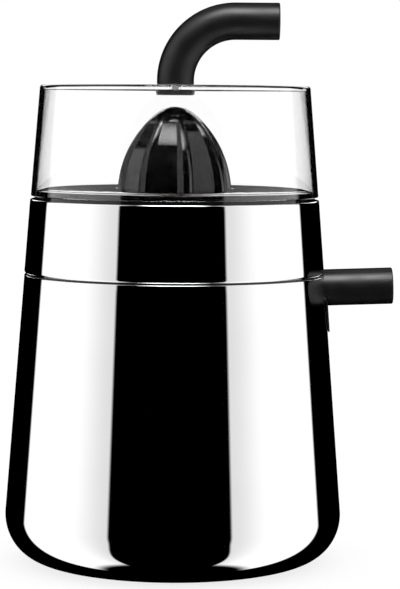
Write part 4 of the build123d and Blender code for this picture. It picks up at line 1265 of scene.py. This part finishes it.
@dataclass
class Lid:
    """The clear lid with its bent handle and the polished disc that clamps it."""

    foot: Point = (74.6, 190.5)
    top: Point = (69.9, 247.6)
    wall: float = 2.5
    corner: float = 1.4
    lip: float = 0.3
    hole: float = 2.3
    gasket_radius: float = 9.45
    gasket_top: float = 248.4
    handle_radius: float = 9.6
    handle_foot: float = 0.35
    bend: float = 31.0
    bend_start: float = 250.0
    reach: float = 53.8
    edge: float = 0.8
    bulge: float = 0.3
    clamp_radius: float = 10.2
    clamp_draft: float = 0.35
    air: float = 0.03
    clamp_bottom: float = 242.6
    screw_hole: float = 2.05
    screw_head: float = 4.5

    def cover(self, *clear: bpy.types.Material) -> None:
        """Model the clear shell, with the finishes of its inside, its wall and its top corner; the
        wall and the corner carry a painted dark reflection edge-on.
        """
        (foot_r, foot_z), (top_r, top_z), t = self.foot, self.top, self.wall
        slope = (top_r - foot_r) / (top_z - foot_z)
        wall_top = top_z - self.corner - 1.0
        lip_z, span = foot_z + self.lip, 5.0
        outer = run((foot_r, lip_z), (foot_r + slope * (wall_top - foot_z), wall_top), span)
        inner_top = foot_r + slope * (top_z - t - foot_z) - t
        inner = run((inner_top - slope * 3, top_z - t - 3), (foot_r - t, lip_z), span)
        brow = rounded([(*outer[-1], 0), (top_r, top_z, self.corner), (self.hole, top_z, 0)], 8)
        under = [(self.hole, top_z - t), (inner_top, top_z - t)]
        lip = [(foot_r - t + self.lip, foot_z), (foot_r - self.lip, foot_z)]
        outline = [*lip, *outer[:-1], *brow, *under, *inner]
        lid = Workpiece.turned("lid_clear", outline, 256)
        lid.soften(40)
        lid.dress(*clear)

        def on_wall(middle: Vector, normal: Vector) -> bool:
            """Whether a face is on the wall's outside."""
            wall = foot_r + slope * (middle.z - foot_z) - t / 2
            outwards = normal.x * middle.x + normal.y * middle.y > 0
            return math.hypot(middle.x, middle.y) > wall and normal.z < 0.95 and outwards

        corner = top_z - self.corner
        # The wall's outside and the top corner take the finishes with the painted dark reflection.
        lid.paint(1, on_wall)
        lid.paint(2, lambda middle, normal: middle.z > corner and 0.1 < normal.z < 0.99)
        lid.install("lid_assembly", Slot.CLEAR, "lid")

    def handle(self, soft: bpy.types.Material) -> None:
        """Model the handle: a disc pulled up, swung over and pulled out to its rounded end."""
        r, foot, edge, bend = self.handle_radius, self.gasket_top, self.handle_foot, self.bend
        deselect()
        bpy.ops.mesh.primitive_circle_add(
            vertices=112, radius=(r - edge) * MM, fill_type="NGON", location=(0, 0, foot * MM)
        )
        bar = Workpiece("handle_black")
        bar.settle()

        def pull(way: Vector, here: Vector, was: float, now: float) -> None:
            """Extrude the end face to a new middle and a new radius."""
            extrude(way)
            bpy.ops.transform.resize(value=(now / was,) * 3, center_override=here * MM)

        with bar.editing("FACE"):
            height, size = foot, r - edge
            for rise, wide in arc((0, 0), (edge, edge), 0, 90, 4)[1:]:
                rise, wide = foot + edge - rise, r - edge + wide
                pull(Vector((0, 0, rise - height)), Vector((0, 0, rise)), size, wide)
                height, size = rise, wide
            extrude(Vector((0, 0, self.bend_start - height)))
            middle = Vector((bend, 0, self.bend_start)) * MM
            bpy.ops.mesh.spin(steps=44, angle=math.radians(-90), center=middle, axis=(0, 1, 0))
            arm, level = self.reach - self.edge, self.bend_start + bend
            for _ in range(5):
                extrude(Vector(((arm - bend) / 5, 0, 0)))
            place, size = arm, r
            corner = arc((0, r - self.edge), (self.edge, self.edge), 90, 15, 6)[1:]
            (last_out, last_r), bulge = corner[-1], self.bulge
            cap = [(last_out + bulge * (1 - (i / 6) ** 2), last_r * i / 6) for i in range(5, 0, -1)]
            for out, wide in corner + cap:
                spot = arm + out
                pull(Vector((spot - place, 0, 0)), Vector((spot, 0, level)), size, wide)
                place, size = spot, wide
            bpy.ops.mesh.merge(type="CENTER")
        bar.close()
        bar.complete(soft, "lid_assembly", Slot.SOFT_BLACK, "handle")

    def clamp(self, chrome: bpy.types.Material, rubber: bpy.types.Material) -> None:
        """Model the clamp disc and the gasket."""
        top, clamp_r = self.top[1] - self.wall - self.air, self.clamp_radius
        outline = rounded([
            (self.screw_hole, top, 0), (clamp_r, top, 0.25),
            (clamp_r - self.clamp_draft, self.clamp_bottom, 0.5),
            (self.screw_head, self.clamp_bottom, 0.1),
        ], 5)
        disc = Workpiece.turned("clamp_chrome", outline, 160)
        disc.complete(chrome, "lid_assembly", Slot.BLACK_CHROME, "clamp_disc")
        low, high, gasket_r = self.top[1] + self.air, self.gasket_top, self.gasket_radius
        outline = rounded([
            (self.hole, low, 0), (gasket_r, low, 0.25), (gasket_r, high, 0.25), (self.hole, high, 0)
        ])
        ring = Workpiece.turned("gasket_rubber", outline, 128)
        ring.complete(rubber, "lid_assembly", Slot.RUBBER, "handle_gasket")


def dress_nodes(finishes: dict[Slot, bpy.types.Material]) -> None:
    """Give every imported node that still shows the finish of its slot."""
    for name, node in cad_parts.items():
        for place in node.material_slots:
            slot = Slot(place.material.name.split(".")[0])
            place.material = finishes[slot]
        LOG.info("%s: packed node, %d faces", name, len(node.data.polygons))


def main() -> None:
    """Build the scene, camera first."""
    Viewpoint().place()
    studio = Studio()
    studio.light()
    studio.lay_floor()
    finishes = {slot: finish.make() for slot, finish in FINISHES.items()}
    clear = [finish.make() for finish in LID_FINISHES]
    dress_nodes(finishes)
    Housing().build(finishes[Slot.STEEL])
    Bowl().build(finishes[Slot.GLOSS_BLACK])
    Spout().build(finishes[Slot.SOFT_BLACK])
    Press().build(finishes[Slot.GLOSS_BLACK])
    lid = Lid()
    lid.cover(*clear)
    lid.handle(finishes[Slot.SOFT_BLACK])
    lid.clamp(finishes[Slot.BLACK_CHROME], GASKET_FINISH.make())


if __name__ == "__main__":
    logging.basicConfig(level=logging.INFO, format="%(name)s %(message)s")
    main()
